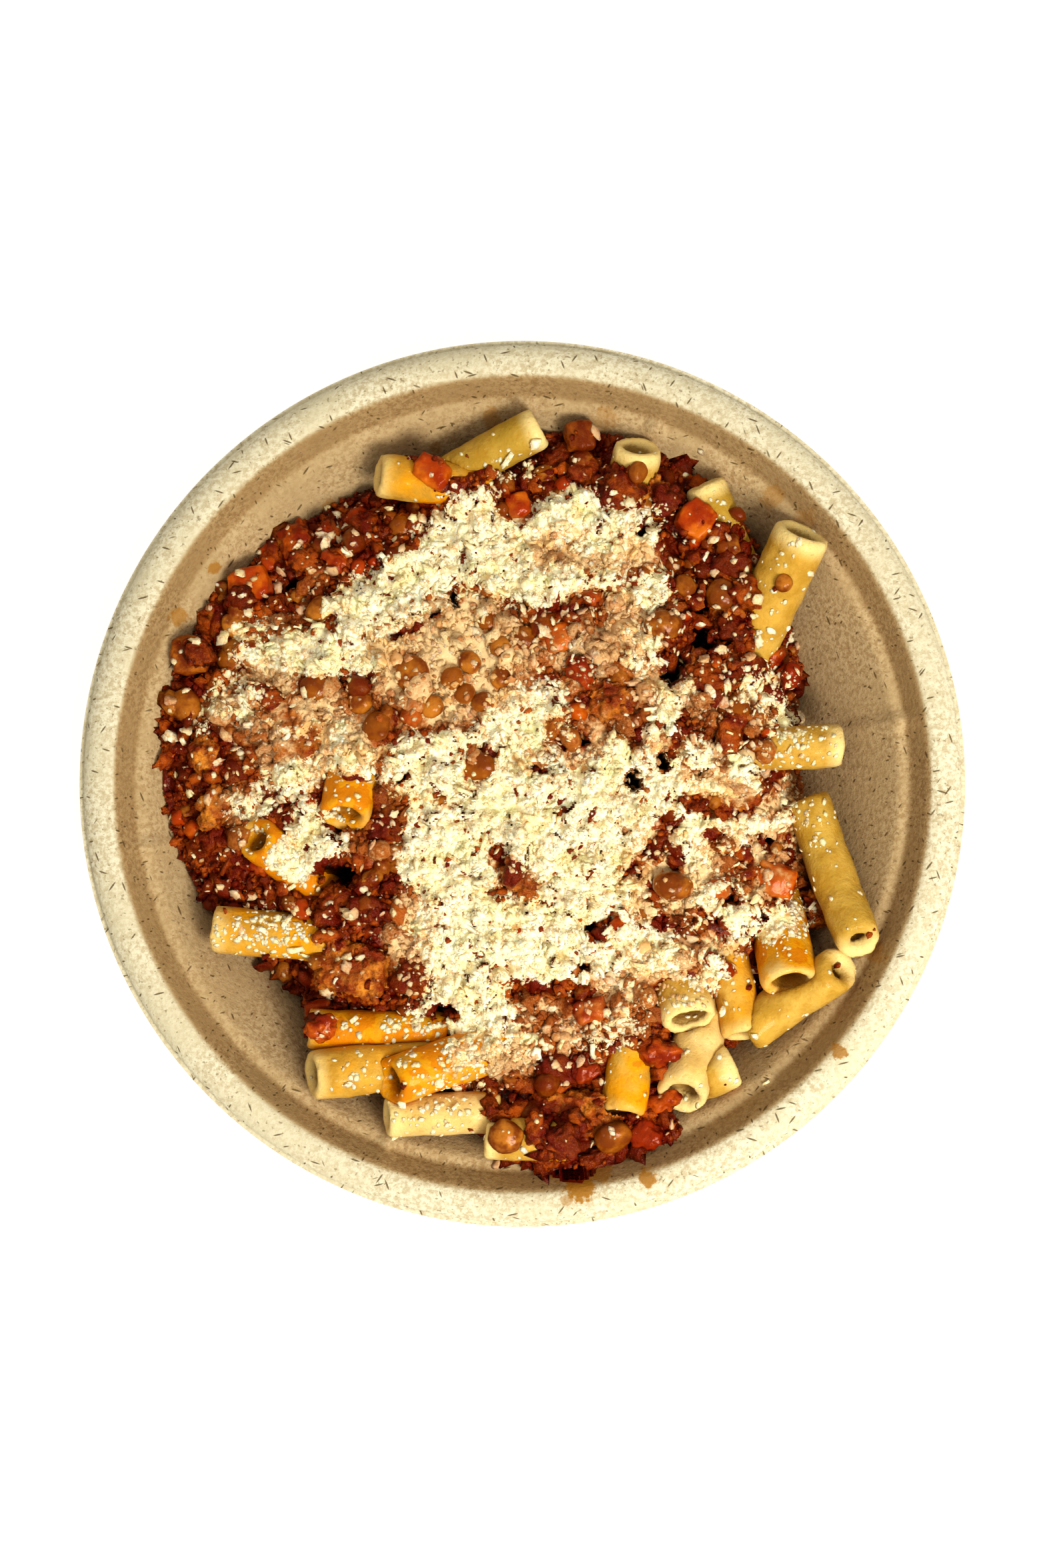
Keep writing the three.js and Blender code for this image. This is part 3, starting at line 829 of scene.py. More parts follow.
def gaps(x: Array, y: Array) -> Array:
    """Returns how deep the gaps are at each place, 0 to 1, with ragged edges."""
    bent_x = x + 0.7 * np.sin(1.7 * y + 0.9 * x) + 0.4 * np.sin(4.1 * y - 2.3 * x)
    bent_y = y + 0.7 * np.sin(1.5 * x - 0.8 * y) + 0.4 * np.sin(3.7 * x + 2.9 * y)
    return np.clip(2 * strongest(PITS, bent_x, bent_y) - 0.9, 0, 1)


@dataclass
class CheeseFall:
    """Where grated cheese has fallen: thick drifts, thin dustings, bare spots and a part that has melted."""

    drifts: tuple[Patch, ...] = patches(
        (-9, 55, 13, 10), (8, 59, 9, 7, 0.9, 25), (4, 47, 14, 6, 0.85), (-25, 44, 9, 8), (-34, 38, 10, 9),
        (-44, 29, 18, 6, 0.95), (-57, 29, 7, 5, 0.6), (-62, 35, 4, 4, 0.5), (-65, 20, 6, 6, 0.45),
        (-70, 14, 5, 4, 0.4), (20, 56, 12, 6, 0.75, 20), (29, 44, 6, 5, 0.6), (20, 46, 6, 5, 0.5),
        (27, 30, 5, 7, 0.5), (33, 16, 5, 9, 0.8, -15), (0, 14, 11, 8, 0.95, 20), (-18, 7, 16, 6, 0.8),
        (-29, 1, 9, 6, 0.8), (-38, 9, 7, 8, 0.6, 20), (-50, 2, 9, 5, 0.65), (-53, 14, 7, 6, 0.4),
        (-45, -10, 7, 8, 0.8), (-62, -5, 5, 5, 0.6), (-52, -18, 7, 4, 1.05, -40), (-39, 4, 7, 3, 0.9),
        (-57, -33, 10, 4, 0.4), (-25, -54, 8, 3, 0.5), (0, -3, 24, 9), (-17, -17, 9, 17), (-24, -16, 5, 12, 0.7),
        (-24, -34, 5, 9, 0.42), (0, -14, 16, 9), (16, -20, 14, 14), (-12, -34, 15, 10), (8, -36, 14, 9),
        (24, -36, 12, 9, 0.8), (36, -40, 9, 6, 0.5), (44, -44, 5, 5, 0.4), (-12, -50, 10, 9, 0.9),
        (-10, -60, 8, 5, 0.7, 10), (-27, -52, 7, 4, 0.6), (24, -2, 14, 10), (46, 4, 13, 8, 0.8), (50, -9, 12, 6, 0.7),
        (40, -14, 10, 8, 0.7), (46, -28, 11, 9, 0.72), (58, -31, 8, 7, 0.75), (62, 14, 6, 5, 0.5),
        (56, 20, 7, 6, 0.4), (62, -3, 4, 6, 0.5), (20, -54, 8, 6, 0.4), (14, -62, 5, 4, 0.4), (-6, -54, 8, 6, 0.65),
        (-2, -60, 9, 6, 0.6), (20, -60, 8, 5, 0.5, 20), (36, -47, 9, 4, 0.45), (-13, -70, 7, 4, 0.3),
        (-2, 72, 5, 3, 0.35), (56, 2, 4, 5, 0.6),
    )
    bare: tuple[Patch, ...] = patches(
        (-2, -20, 6.5, 3.4, 1.0, -36), (2, -9, 4, 2.6, 0.5), (-10, 4, 3.6, 4.6), (-17, -5, 3, 3, 0.6),
        (32, -11, 2.5, 4, 1.0, -25), (29, -17, 6, 1.6, 0.7), (34, -23, 4, 5.5), (57, -20, 7, 6, 1.0, -30),
        (36, -30, 4, 3, 0.7), (26, -20, 2, 2.4, 0.7), (46, -18, 5, 3, 0.5, -20), (22, -6, 1.4, 7, 0.45, 10),
        (50, -5.5, 8, 2.2, 0.95, 12), (40, -4, 5, 2.2, 0.9), (58, 1, 2.2, 8, 1.0, -10), (54, 7, 7, 2.4, 0.95, -25),
        (45, 6, 1.8, 5, 0.75, 20), (48, -0.5, 5, 1.6, 0.75, -15), (56, -13, 5, 1.8, 0.6, 20), (37, 4, 1.3, 4, 0.4),
        (27, 6, 1.4, 5, 0.6, 25), (48, 12, 6, 5), (20, 19, 8, 6.5), (38, 14, 1.6, 5, 0.8, 15), (6, 12, 3, 3, 0.7),
        (9, 33, 6, 6), (16, 27, 6, 5, 0.9), (42, 38, 9, 12, 0.9), (34, 36, 4, 5, 0.8), (8, 53, 5, 5, 0.5),
        (-2, 63, 4, 4, 0.9), (17, 41, 5, 3, 0.7), (13, 51, 5, 2, 0.5), (-34, 15, 6, 7, 0.9), (-25, 25, 6, 6),
        (-19, 18, 11, 5, 0.9), (-12, 27, 10, 8, 0.9), (-22, 35, 7, 2, 0.7, 30), (-46, 21, 6, 4, 0.8),
        (-52, 19, 6, 5, 0.7), (-33, -8, 6, 9), (-42, -21, 6, 4), (-37, -42, 12, 12), (-33, -27, 7, 6),
        (-57, 8, 8, 3, 0.7), (-40, -2, 6, 6, 0.8), (-60, -12, 4, 4, 0.7), (10, -72, 22, 11, 0.7),
        (51, -26, 4, 2, 0.6), (40, -35, 5, 3, 0.5), (52, -50, 6, 9, 0.8), (38, -54, 7, 6, 0.9), (31, -61, 5, 5, 0.8),
        (-18, -52, 3, 2, 0.8), (24, -66, 5, 7, 0.7), (62, -38, 8, 4, 0.5), (20, -37, 6, 1.6, 0.5, -40),
        (10, -51, 10, 5, 0.9, 10), (40, -21, 6, 3.5, 0.6, 15), (27, -29, 5, 2.6, 0.55, 30),
        (44, -12, 6, 1.8, 0.65, -20), (24, -40, 5, 1.8, 0.55, -25), (38, -40, 3, 3, 0.5), (14, -14, 4, 1.4, 0.5, 40),
        (-2, -33, 4, 1.4, 0.35, -30), (-20, 42, 5, 1.6, 0.45, 35), (52, 0, 4, 2.4, 0.45), (33, 9, 4, 1.5, 0.45, -50),
        (30, -46, 9, 2.4, 0.6, -15), (-30, 6, 5, 1.6, 0.5, 25), (-66, 8, 5, 8, 0.5),
    )
    melted: tuple[Patch, ...] = patches(
        (-16, 27, 22, 15, 1.2), (-45, 14, 16, 11, 0.86), (-50, 5, 14, 8, 0.8), (10, 54, 10, 8, 0.9),
        (22, 38, 14, 14, 0.6), (46, 17, 14, 9, 0.6), (32, -20, 14, 12, 1.15), (30, -42, 20, 9, 0.95),
        (12, -54, 18, 8, 0.72), (-8, -62, 14, 8, 0.9), (36, -47, 10, 6, 0.9), (-25, -36, 7, 12, 0.9),
        (-35, -8, 14, 12, 0.6), (-64, -6, 8, 10, 0.6), (3, 8, 20, 9, 0.8), (-64, 17, 10, 10, 0.7), (56, -10, 13, 16),
        (-44, 44, 12, 7, 0.5), (-2, -20, 9, 7, 0.7), (-32, 56, 8, 4, 0.35), (48, 3, 14, 10, 0.95),
        (30, 4, 12, 9, 0.75), (-55, 32, 12, 8, 0.6), (14, 30, 12, 9, 0.88), (-20, -4, 8, 6, 0.6),
        (-50, 13, 13, 9, 0.82), (-40, 5, 12, 7, 0.95), (-57, 23, 8, 8, 0.95), (-59, 1, 7, 5, 0.6), (22, 52, 10, 6),
        (24, 37, 8, 9, 0.95), (30, 22, 10, 7, 0.8), (50, 15, 10, 7, 0.75), (44, 28, 7, 5, 0.55),
        (44, -40, 8, 7, 0.95), (18, 12, 10, 6, 0.7), (-12, 40, 14, 5, 0.9),
    )
    dusted: tuple[Patch, ...] = patches(
        (-46, 44, 22, 18), (-62, 4, 14, 28, 0.8), (44, 34, 18, 24), (-38, -38, 16, 14), (50, 10, 14, 10),
        (4, 70, 20, 6, 0.35), (6, -62, 14, 6, 0.4), (10, 31, 13, 11, 2.2), (22, 34, 7, 10, 1.8),
        (-58, -33, 12, 6, 2.4), (-21, -61, 12, 6, 2.6), (-23, -74, 11, 6, 2.4), (-36, -54, 13, 5, 1.8),
        (66, 8, 7, 6, 1.6), (-32, -64, 10, 5, 1.2),
    )
    runs: tuple[Patch, ...] = patches(  # where sauce has welled up in seams, free of cheese
        (53, 6.6, 3.8, 1.2, 1, -35), (55.8, 1, 1.2, 4), (58.5, 3, 1.3, 5), (40, -4, 3.6, 1.4, 1, -15),
        (47, -6.3, 4.6, 1.3, 1, -8), (53, -4.2, 2.6, 1.1, 1, 45), (35.5, 11.5, 1.1, 4.5, 1, -20),
        (46, 9, 3.4, 1, 0.8, -10), (52.5, 9.5, 3, 1.4, 1, -10), (33, -10.5, 3.4, 1.4, 1, 40),
        (30, -15, 3.8, 1.8, 1, 30), (24.5, -19.5, 2.8, 1.8), (35, -17, 1.3, 3.2, 1, 20), (29.5, -25.5, 1.5, 3.6),
        (55, -13.5, 3.8, 1.3, 1, -25), (51, -18.5, 1.5, 4, 1, 10), (61.5, -16, 1.3, 4), (43, -31.5, 4.4, 1.4, 1, -45),
        (46, -25, 1.9, 1.6), (31, -31, 1.4, 3.2, 1, 20), (4, 3.5, 2.8, 1.1, 0.9, 30), (9, 9, 1.2, 3, 0.9, 20),
        (17.5, -33, 3, 1.2, 0.9, 40), (0, -46.5, 5, 1.3, 1, 15), (10.5, -46, 4, 1.4, 1, -10),
        (-27, 34.5, 4, 1.1, 0.9, 30), (-38, 23.5, 4, 1.1, 0.9, 10), (-5.5, -16, 1.2, 3.6, 0.8, 25),
        (-7.5, 7.5, 2.6, 1, 0.9, -20),
    )
    washed: float = 0.9  # how far the seams clear cheese away

    def seams(self, x: Array, y: Array) -> Array:
        """Returns how far sauce has welled up at each place, 0 to 1, with ragged edges."""
        return np.clip(1.3 * strongest(self.runs, x + 0.6 * np.sin(1.9 * y), y + 0.6 * np.sin(1.7 * x)), 0, 1)

    def cover(self, x: Array, y: Array) -> Array:
        """Returns how much cheese lies at each place, 0 to 1 and a little beyond."""
        ragged = clouded(x, y, (0.26, 7, 6), (0.3, 3, 2.6), (0.26, 5, 1.1))
        laid = strongest(self.drifts, x, y) * (1 - self.washed * self.seams(x, y))
        return laid - 0.85 * strongest(self.bare, x, y) - 1.2 * gaps(x, y) + ragged * np.clip(4 * laid, 0, 1)

    def veil(self, x: Array, y: Array, under: float = 1.0) -> Array:
        """Works out how far melted cheese whitens what it lies on.

        Args:
            x: across the dish, in mm.
            y: along the dish, in mm.
            under: how strongly the drifts whiten what is under them.

        Returns:
            The strength at each place, 0 to 1.2.
        """
        uneven = clouded(x, y, (0.4, 21, 7), (0.25, 9, 3.2))
        laid = np.maximum(strongest(self.melted, x, y), under * strongest(self.drifts, x, y))
        film = laid * (1 - self.washed * self.seams(x, y))
        return np.clip(film + uneven * np.clip(2 * film, 0, 1), 0, 1.2)

    def chance(self, base: float, gain: float, power: float = 1.0, soft: float = 0.0, pasta: float = 0.3) -> Callable:
        """Returns the chance that a grain stays, from a sparse dusting up to the thick drifts.

        Args:
            base: the chance on bare sauce.
            gain: what a full drift adds.
            power: the higher, the more the grains keep to the drifts.
            soft: the chance where the cheese has melted.
            pasta: how well it holds on a tube.
        """
        hold = np.array([0.01, 1.0, pasta, 0.6])  # in the order of Ground

        def share(x: Array, y: Array, ground: Array) -> Array:
            """Returns the chance at each place."""
            cover = np.clip(self.cover(x, y), 0, 1)
            dust = base * (0.25 + 0.75 * strongest(self.dusted, x, y))
            melted = np.clip(strongest(self.melted, x, y), 0, 1)
            laid = dust + gain * cover**power * (1.1 - 0.5 * cover) + soft * melted**2
            return hold[ground] * laid * (1 - gaps(x, y))

        return share


# ---- The sauce ------------------------------------------------------------------------------------------


@dataclass
class SauceHeap:
    """The body of the heap: sauce and fine mince, which closes round the pasta and settles below its tubes."""

    bowl: BowlShell
    nodes: dict[str, Piece]
    fall: CheeseFall
    node: str = "sauce_heap"
    half: float = 92.0
    pitch: float = 0.55
    sink: float = 0.9  # how far it lies below the solid's top, which leaves room for what is strewn on it
    closing: float = 6.6  # half the widest groove that sauce runs back into
    clear: float = 0.4  # how far it stands off the bowl's face where it ends
    shoal: float = 4.0  # how deep it is, at least, where its lumps are full height
    gap_depth: float = 9.0
    highest: float = 55.4
    tallest_lump: float = 1.9
    bank_cover: float = 0.9  # how thickly a bank covers pasta
    bare_gap: float = 0.3  # how far it stays below pasta that it doesn't cover
    relief: tuple[tuple[float, float], ...] = ((9.5, 1.3), (4.6, 0.8), (2.3, 0.6), (1.2, 0.3))  # lump size and height
    banks: tuple[Patch, ...] = patches(  # where sauce lies over pasta
        (8, -78, 8, 7), (23, -54, 7, 7), (-12, 66, 11, 6), (-47, -53, 5, 5), (56, -26, 7, 7), (37, -41, 7, 4.5),
        (43, -43, 2.5, 6), (-5, -73, 6, 5), (-4, -61, 6, 6), (-42, -33, 6, 6), (31, -61, 3.5, 6), (21, 66, 8, 7),
        (47, 51, 6, 7), (50, 37, 3.5, 7), (51, 27, 5, 4), (54, 11, 4, 5), (45, -34, 5, 4), (-25, 73, 3, 2.5, 0.8),
        (41, 56, 4, 5), (49, 54, 4, 8), (-46, -17, 5, 4), (28, -77, 6, 4), (-38, 9, 6, 5), (-36, 5, 4, 3, 0.9),
    )
    spills: tuple[Patch, ...] = patches(  # where thin sauce has run up the wall
        (9, -85, 13, 2.6), (11, -87.5, 5, 2.4), (31, -79, 5, 3), (22, -82, 6, 2.5), (-80, 8, 1.5, 12, 0.8),
        (-66, 44, 3, 6, 0.8, -35), (64, 28, 2.5, 6, 0.8, 20), (-72, -26, 3, 4, 0.7),
    )
    level: HeightField = field(init=False)
    inside: HeightField = field(init=False)
    painted_sauce_shade: HeightField = field(init=False)
    veil: HeightField = field(init=False)

    def cast(self, tree: BVHTree, x: Array, y: Array, upward: bool) -> Array:
        """Finds where vertical rays first meet a form.

        Args:
            tree: the form.
            x: where the rays stand, in mm.
            y: where the rays stand, in mm.
            upward: whether they come from below.

        Returns:
            The heights in mm, not-a-number where a ray misses.
        """
        heights = np.full(x.shape, np.nan)
        start, way = (-0.05, Vector((0, 0, 1))) if upward else (0.1, Vector((0, 0, -1)))
        for index in np.ndindex(x.shape):
            place = tree.ray_cast(Vector((x[index] * MM, y[index] * MM, start)), way)[0]
            if place is not None:
                heights[index] = place.z / MM
        return heights

    def pasta_forms(self) -> BVHTree:
        """Returns the filled outlines of all the pasta tubes as one form."""
        forms = bmesh.new()
        for name, node in self.nodes.items():
            if name.startswith("rigatoni"):
                tube = merged_copy(node)
                hull = bmesh.ops.convex_hull(tube, input=tube.verts)
                bmesh.ops.delete(tube, geom=list(set(hull["geom_interior"])), context="VERTS")
                part = bpy.data.meshes.new("hull")
                tube.to_mesh(part)
                forms.from_mesh(part)
                tube.free()
                bpy.data.meshes.remove(part)
        tree = BVHTree.FromBMesh(forms)
        forms.free()
        return tree

    @staticmethod
    def swept(values: Array, cells: int, pick: Callable) -> Array:
        """Takes the pick of each place's neighbours up to a number of cells away, along both axes."""
        for axis in (0, 1):
            best = values.copy()
            for shift in range(1, cells + 1):
                for way in (-shift, shift):
                    best = pick(best, np.roll(values, way, axis))
            values = best
        return values

    @staticmethod
    def softened(values: Array, keep: Array, rounds: int) -> Array:
        """Averages each kept place with its kept neighbours, a number of times."""
        weight = keep.astype(float)
        for _ in range(rounds):
            for axis in (0, 1):
                total = values * weight
                share = weight.copy()
                for way in (-1, 1):
                    total = total + np.roll(values * weight, way, axis)
                    share = share + np.roll(weight, way, axis)
                values = np.where(keep, total / np.maximum(share, 1), values)
        return values

    def shape(self) -> None:
        """Works out the height of the sauce everywhere."""
        x, y = HeightField.lattice(self.half, self.pitch)
        body = merged_copy(self.nodes[self.node])
        raw = self.cast(BVHTree.FromBMesh(body), x, y, False)
        body.free()
        wall = self.bowl.inner_height(np.hypot(x, y))
        cells = round(self.closing / self.pitch)
        level = self.swept(np.where(np.isnan(raw), 0, raw), cells, np.maximum)
        level = self.swept(level, cells, np.minimum)
        forms = self.pasta_forms()
        top, under = self.cast(forms, x, y, False), self.cast(forms, x, y, True)
        pit, bank, spill = gaps(x, y), strongest(self.banks, x, y), strongest(self.spills, x, y)
        level = np.fmax(level, np.where(bank > 0.35, top, np.nan))
        level = np.maximum(level, np.where(spill > 0.4, wall + 0.5 + spill, 0))
        inside = level > wall + self.clear
        level = self.softened(level, inside, 5)
        relief = np.zeros_like(x)
        for index in zip(*np.nonzero(inside)):
            place = Vector((x[index], y[index], 0))
            warped = place + 1.6 * noise.noise_vector(place / 5) + 0.45 * noise.noise_vector(place / 1.6)
            relief[index] = sum(rise * crag(warped + Vector((31 * size, 0, 0)), size) for size, rise in self.relief)
            relief[index] += 1.0 * noise.noise(place / 12) + 0.3 * noise.noise(place / 0.9)
        thin = np.clip((level - wall - self.clear) / self.shoal, 0.15, 1)
        film = self.fall.veil(x, y)
        relief = np.minimum(relief, self.tallest_lump) * thin * (1 - 0.5 * np.clip(film, 0, 1)) + 0.35 * film
        height = level - self.sink * thin + relief - self.gap_depth * pit
        filled = self.softened(np.fmax(level, top), inside, 6) + self.bank_cover + 0.5 * np.maximum(relief, -0.4)
        height += bank * (np.maximum(filled, height) - height)
        bare = ~np.isnan(top) & (top > height - self.bare_gap)
        height = np.where(bare, np.minimum(height, under - self.bare_gap), height)
        lowest = wall + 0.1 - self.clear * (thin > 0.3)
        height = np.where(inside, np.clip(height, lowest, self.highest), wall - 0.5)
        self.level = HeightField(self.half, height)
        self.inside = HeightField(self.half, self.swept(inside, 1, np.maximum).astype(float))
        # painted shade: the sauce is darkened where it lies below its surroundings, and darkest in the gaps
        around = self.softened(height, inside, 10)
        proud = height - around
        depth = np.clip((-proud - 0.1) / 1.2, 0, 1) * (1 - 0.8 * np.clip(film, 0, 1))
        self.painted_sauce_shade = HeightField(self.half, 0.85 * depth + 1.2 * pit)
        self.veil = HeightField(self.half, film * np.clip(1.0 - 0.35 * proud, 0.3, 1.2))

    def build(self) -> Piece:
        """Lays a fine sheet over the heap and closes it down along the bowl's wall."""
        self.shape()
        mesh, places = flat_sheet(self.half, self.pitch)
        fields = (self.level, self.painted_sauce_shade, self.veil, self.inside)
        heights, dark, veil, kept = (read.at(places[:, 0], places[:, 1]) for read in fields)
        painted_shade_and_soak, shade, milky = number_layers(mesh, "painted_shade_and_soak", "shade", "milky")
        outside = []
        for vert, height, depth, film, keep in zip(list(mesh.verts), heights, dark, veil, kept):
            vert.co.z = height * MM
            # painted shade in hollows and gaps
            vert[painted_shade_and_soak] = min(depth, 1.0)
            vert[milky] = film
            vert[shade] = 0.35 + 0.4 * noise.noise(vert.co / (4 * MM))
            if keep < 0.01:
                outside.append(vert)
        bmesh.ops.delete(mesh, geom=outside, context="VERTS")
        self.drop_islands(mesh)
        self.close_below(mesh)
        return finished(self.node, mesh, SAUCE, [self.node])

    @staticmethod
    def drop_islands(mesh: Form) -> None:
        """Keeps only the largest connected sheet."""
        left, sheets = set(mesh.verts), []
        while left:
            front = [left.pop()]
            sheet = list(front)
            while front:
                for edge in front.pop().link_edges:
                    for vert in edge.verts:
                        if vert in left:
                            left.remove(vert)
                            front.append(vert)
                            sheet.append(vert)
            sheets.append(sheet)
        sheets.sort(key=len)
        bmesh.ops.delete(mesh, geom=[v for sheet in sheets[:-1] for v in sheet], context="VERTS")

    def close_below(self, mesh: Form) -> None:
        """Draws the sheet's edge in under it, just above the bowl's face, and closes it in the middle."""
        for share in (0.9, 0.7, 0.45, 0.2):
            rim = [edge for edge in mesh.edges if edge.is_boundary]
            drawn = bmesh.ops.extrude_edge_only(mesh, edges=rim)["geom"]
            for vert in (item for item in drawn if isinstance(item, bmesh.types.BMVert)):
                angle = math.atan2(vert.co.y, vert.co.x)
                radius = 70 * share
                floor = float(self.bowl.inner_height(np.array(radius))) + self.clear
                vert.co = Vector((math.cos(angle) * radius, math.sin(angle) * radius, floor)) * MM
        rim = [edge for edge in mesh.edges if edge.is_boundary]
        bmesh.ops.holes_fill(mesh, edges=rim, sides=0)
        bmesh.ops.triangulate(mesh, faces=[face for face in mesh.faces if len(face.verts) > 4])
        bmesh.ops.recalc_face_normals(mesh, faces=mesh.faces)


# ---- Pasta ----------------------------------------------------------------------------------------------


@dataclass
class PastaTube:
    """One cooked tube of pasta: its solid given a soft skin, gentle dents and the sauce that has run on it."""

    node: Piece
    sauced: float
    # how much painted shade this tube has; below zero, painted light
    painted_tube_shade: float
    swell: float  # how much the water has swollen this one, in mm
    sauce: HeightField
    cell: float = 0.62
    rounds: int = 14
    dent: float = 0.34
    bore: float = 11.0  # wider than any tube's bore, in mm
    wick: float = 4.0  # how far sauce creeps up it, in mm
    wiped: float = 9.0  # how far in from its mouth it is less sauced, in mm
    daylight: float = 7.0  # how far light reaches into its mouth, in mm
    cut_reach: float = 3.4  # how far its pale cut edge runs on, in mm

    def axis(self, mesh: Form) -> tuple[Array, Array]:
        """Returns the tube's middle and its direction, which points out of the heap."""
        places = np.array([vert.co for vert in mesh.verts])
        middle = places.mean(axis=0)
        direction = np.linalg.svd(places - middle, full_matrices=False)[2][0]
        outward = np.dot(direction[:2], middle[:2])
        return middle, direction if outward > 0 else -direction

    def build(self) -> Piece:
        """Shapes the tube and stores where it is sauced, its painted shade, the painted shade inside it and its cut
        edge.
        """
        mesh = reskinned(merged_copy(self.node), self.cell, self.rounds)
        tree = BVHTree.FromBMesh(mesh)
        inside = [
            float(tree.ray_cast(vert.co + vert.normal * 0.2 * MM, vert.normal, self.bore * MM)[0] is not None)
            for vert in mesh.verts
        ]
        middle, direction = self.axis(mesh)
        along = np.array([np.dot(np.array(vert.co) - middle, direction) for vert in mesh.verts]) / MM
        from_mouth = along.max() - along
        shift = Vector((7 * self.sauced + self.node.data.vertices[0].co.x / MM, 0, 0))
        for vert, hidden in zip(mesh.verts, inside):
            place = vert.co / MM + shift
            lift = self.dent * (noise.noise(place / 6) + 0.4 * noise.noise(place / 2.2)) + self.swell * (1 - hidden)
            vert.co += vert.normal * MM * lift
        places = np.array([vert.co for vert in mesh.verts]) / MM
        above = places[:, 2] - self.sauce.at(places[:, 0], places[:, 1])
        sauced, painted_tube_shade, painted_bore_shade, edge = number_layers(mesh, "sauced", "painted_tube_shade", "inside", "edge")
        for vert, hidden, depth, clear in zip(mesh.verts, inside, from_mouth, above):
            blot = noise.noise(vert.co / (7 * MM) + shift) + 0.5 * noise.noise(vert.co / (2.5 * MM))
            soaked = max(0.0, 1 - max(clear, 0) / self.wick) * 0.45
            tint = self.sauced * (0.8 + 0.8 * blot) * (0.4 + min(depth / self.wiped, 0.6)) + soaked * (0.6 + blot)
            pale = clamp(1.2 - depth / self.cut_reach, high=0.8)
            vert[sauced] = clamp(tint)
            # painted shade per tube, a little uneven
            vert[painted_tube_shade] = self.painted_tube_shade * (0.7 + 0.3 * blot)
            # painted shade inside the bore, deeper in from the mouth
            vert[painted_bore_shade] = hidden * clamp(depth / self.daylight, 0.12, 0.9)
            vert[edge] = pale * (1 - hidden * 0.4) * (1 - 0.5 * self.sauced)
        return finished(self.node.name + "_boiled", mesh, PASTA, [self.node.name])


TUBE_LOOKS: tuple[tuple[float, float, float], ...] = (  # how sauced, how much painted shade (below zero, painted light) and how swollen, in the nodes' order
    (0.14, 0.45, 0.3), (0.75, 0, 0.3), (0.1, 0, 0.3), (0.45, 0, 0.3), (0.05, 0.6, 0.9), (0.1, 0.45, 0.8),
    (0.02, -0.6, 0.4), (0.05, 0.45, 0.6), (0.5, 0.1, 0.3), (0.95, 0, 0.3), (0.1, -0.6, 0.3), (0.25, 0.28, 0.3),
    (0.7, 0.35, 0.3), (0.05, 0.1, 0.2), (0.45, 0.1, 0.3), (0.95, 0, 0.3), (1.0, 0, 0.3), (0.1, 0.3, 0.2),
    (0.35, 0.2, 0.3), (0.05, 0.9, 0.4), (0.05, 0.95, 0.3), (0.1, 0.35, 0.3),
)


# ---- Mince, dice and other soft pieces ------------------------------------------------------------------


@dataclass
class MinceLump:
    """A lump of browned mince: many small crumbs that have stuck together."""

    node: Piece
    veil: HeightField
    cell: float = 0.55
    crumbs: tuple[tuple[float, float], ...] = ((4.8, 0.6), (2.2, 0.5), (1.3, 0.34))  # their width and height, in mm

    def build(self) -> Piece:
        """Breaks the solid's skin up into crumbs and stores painted shade in their cracks."""
        mesh = reskinned(merged_copy(self.node), self.cell, 4)
        middle = sum((vert.co for vert in mesh.verts), Vector()) / len(mesh.verts)
        lifts = {}
        for vert in mesh.verts:
            place = vert.co / MM
            warped = place + 1.2 * noise.noise_vector(place / 4)
            lifts[vert.index] = sum(rise * crag(warped, size) for size, rise in self.crumbs)
            lift = lifts[vert.index] - 0.25 + 0.6 * noise.noise(place / 6)
            vert.co = vert.co + vert.normal * MM * lift - (vert.co - middle) * 0.03
        # painted shade in the cracks between crumbs
        stored(mesh, "painted_shade_and_soak", lambda vert: clamp(-0.08 - 0.55 * lifts[vert.index], high=0.85))
        stored(mesh, "shade", lambda vert: 0.5 + 0.5 * noise.noise(vert.co / (3 * MM)))
        stored(mesh, "milky", lambda vert: 0.75 * float(self.veil.at(vert.co.x / MM, vert.co.y / MM)))
        return finished(self.node.name + "_browned", mesh, MINCE, [self.node.name])


BROWNED_CARROTS = ("carrot_09", "carrot_10")  # long cooked, so as dark as the tomato


@dataclass
class Dice:
    """A die of carrot or mushroom with soft edges and slightly sunken faces."""

    node: Piece
    finish: Finish
    slot: Slot
    veil: HeightField
    cell: float = 0.5

    def build(self) -> Piece:
        """Rounds the solid and roughens its cut faces."""
        mesh = reskinned(merged_copy(self.node), self.cell, 3)
        low, high = (pick(vert.co.z for vert in mesh.verts) for pick in (min, max))
        for vert in mesh.verts:
            place = vert.co / MM
            vert.co += vert.normal * MM * (0.45 * noise.noise(place / 2.8) + 0.16 * noise.noise(place / 1.1))
        stored(mesh, "shade", lambda vert: 0.45 + 0.6 * noise.noise(vert.co / (4 * MM)))
        # painted shade: darker towards the bottom of the die
        stored(mesh, "painted_shade_and_soak", lambda vert: clamp(0.75 - 1.5 * (vert.co.z - low) / (high - low), high=0.8))
        stored(mesh, "milky", lambda vert: 0.6 * float(self.veil.at(vert.co.x / MM, vert.co.y / MM)))
        return finished(self.node.name + "_stewed", mesh, self.finish, [self.node.name])


Place = tuple[float, float, float, float, float]  # x, y, length and width in mm, and its turn in degrees


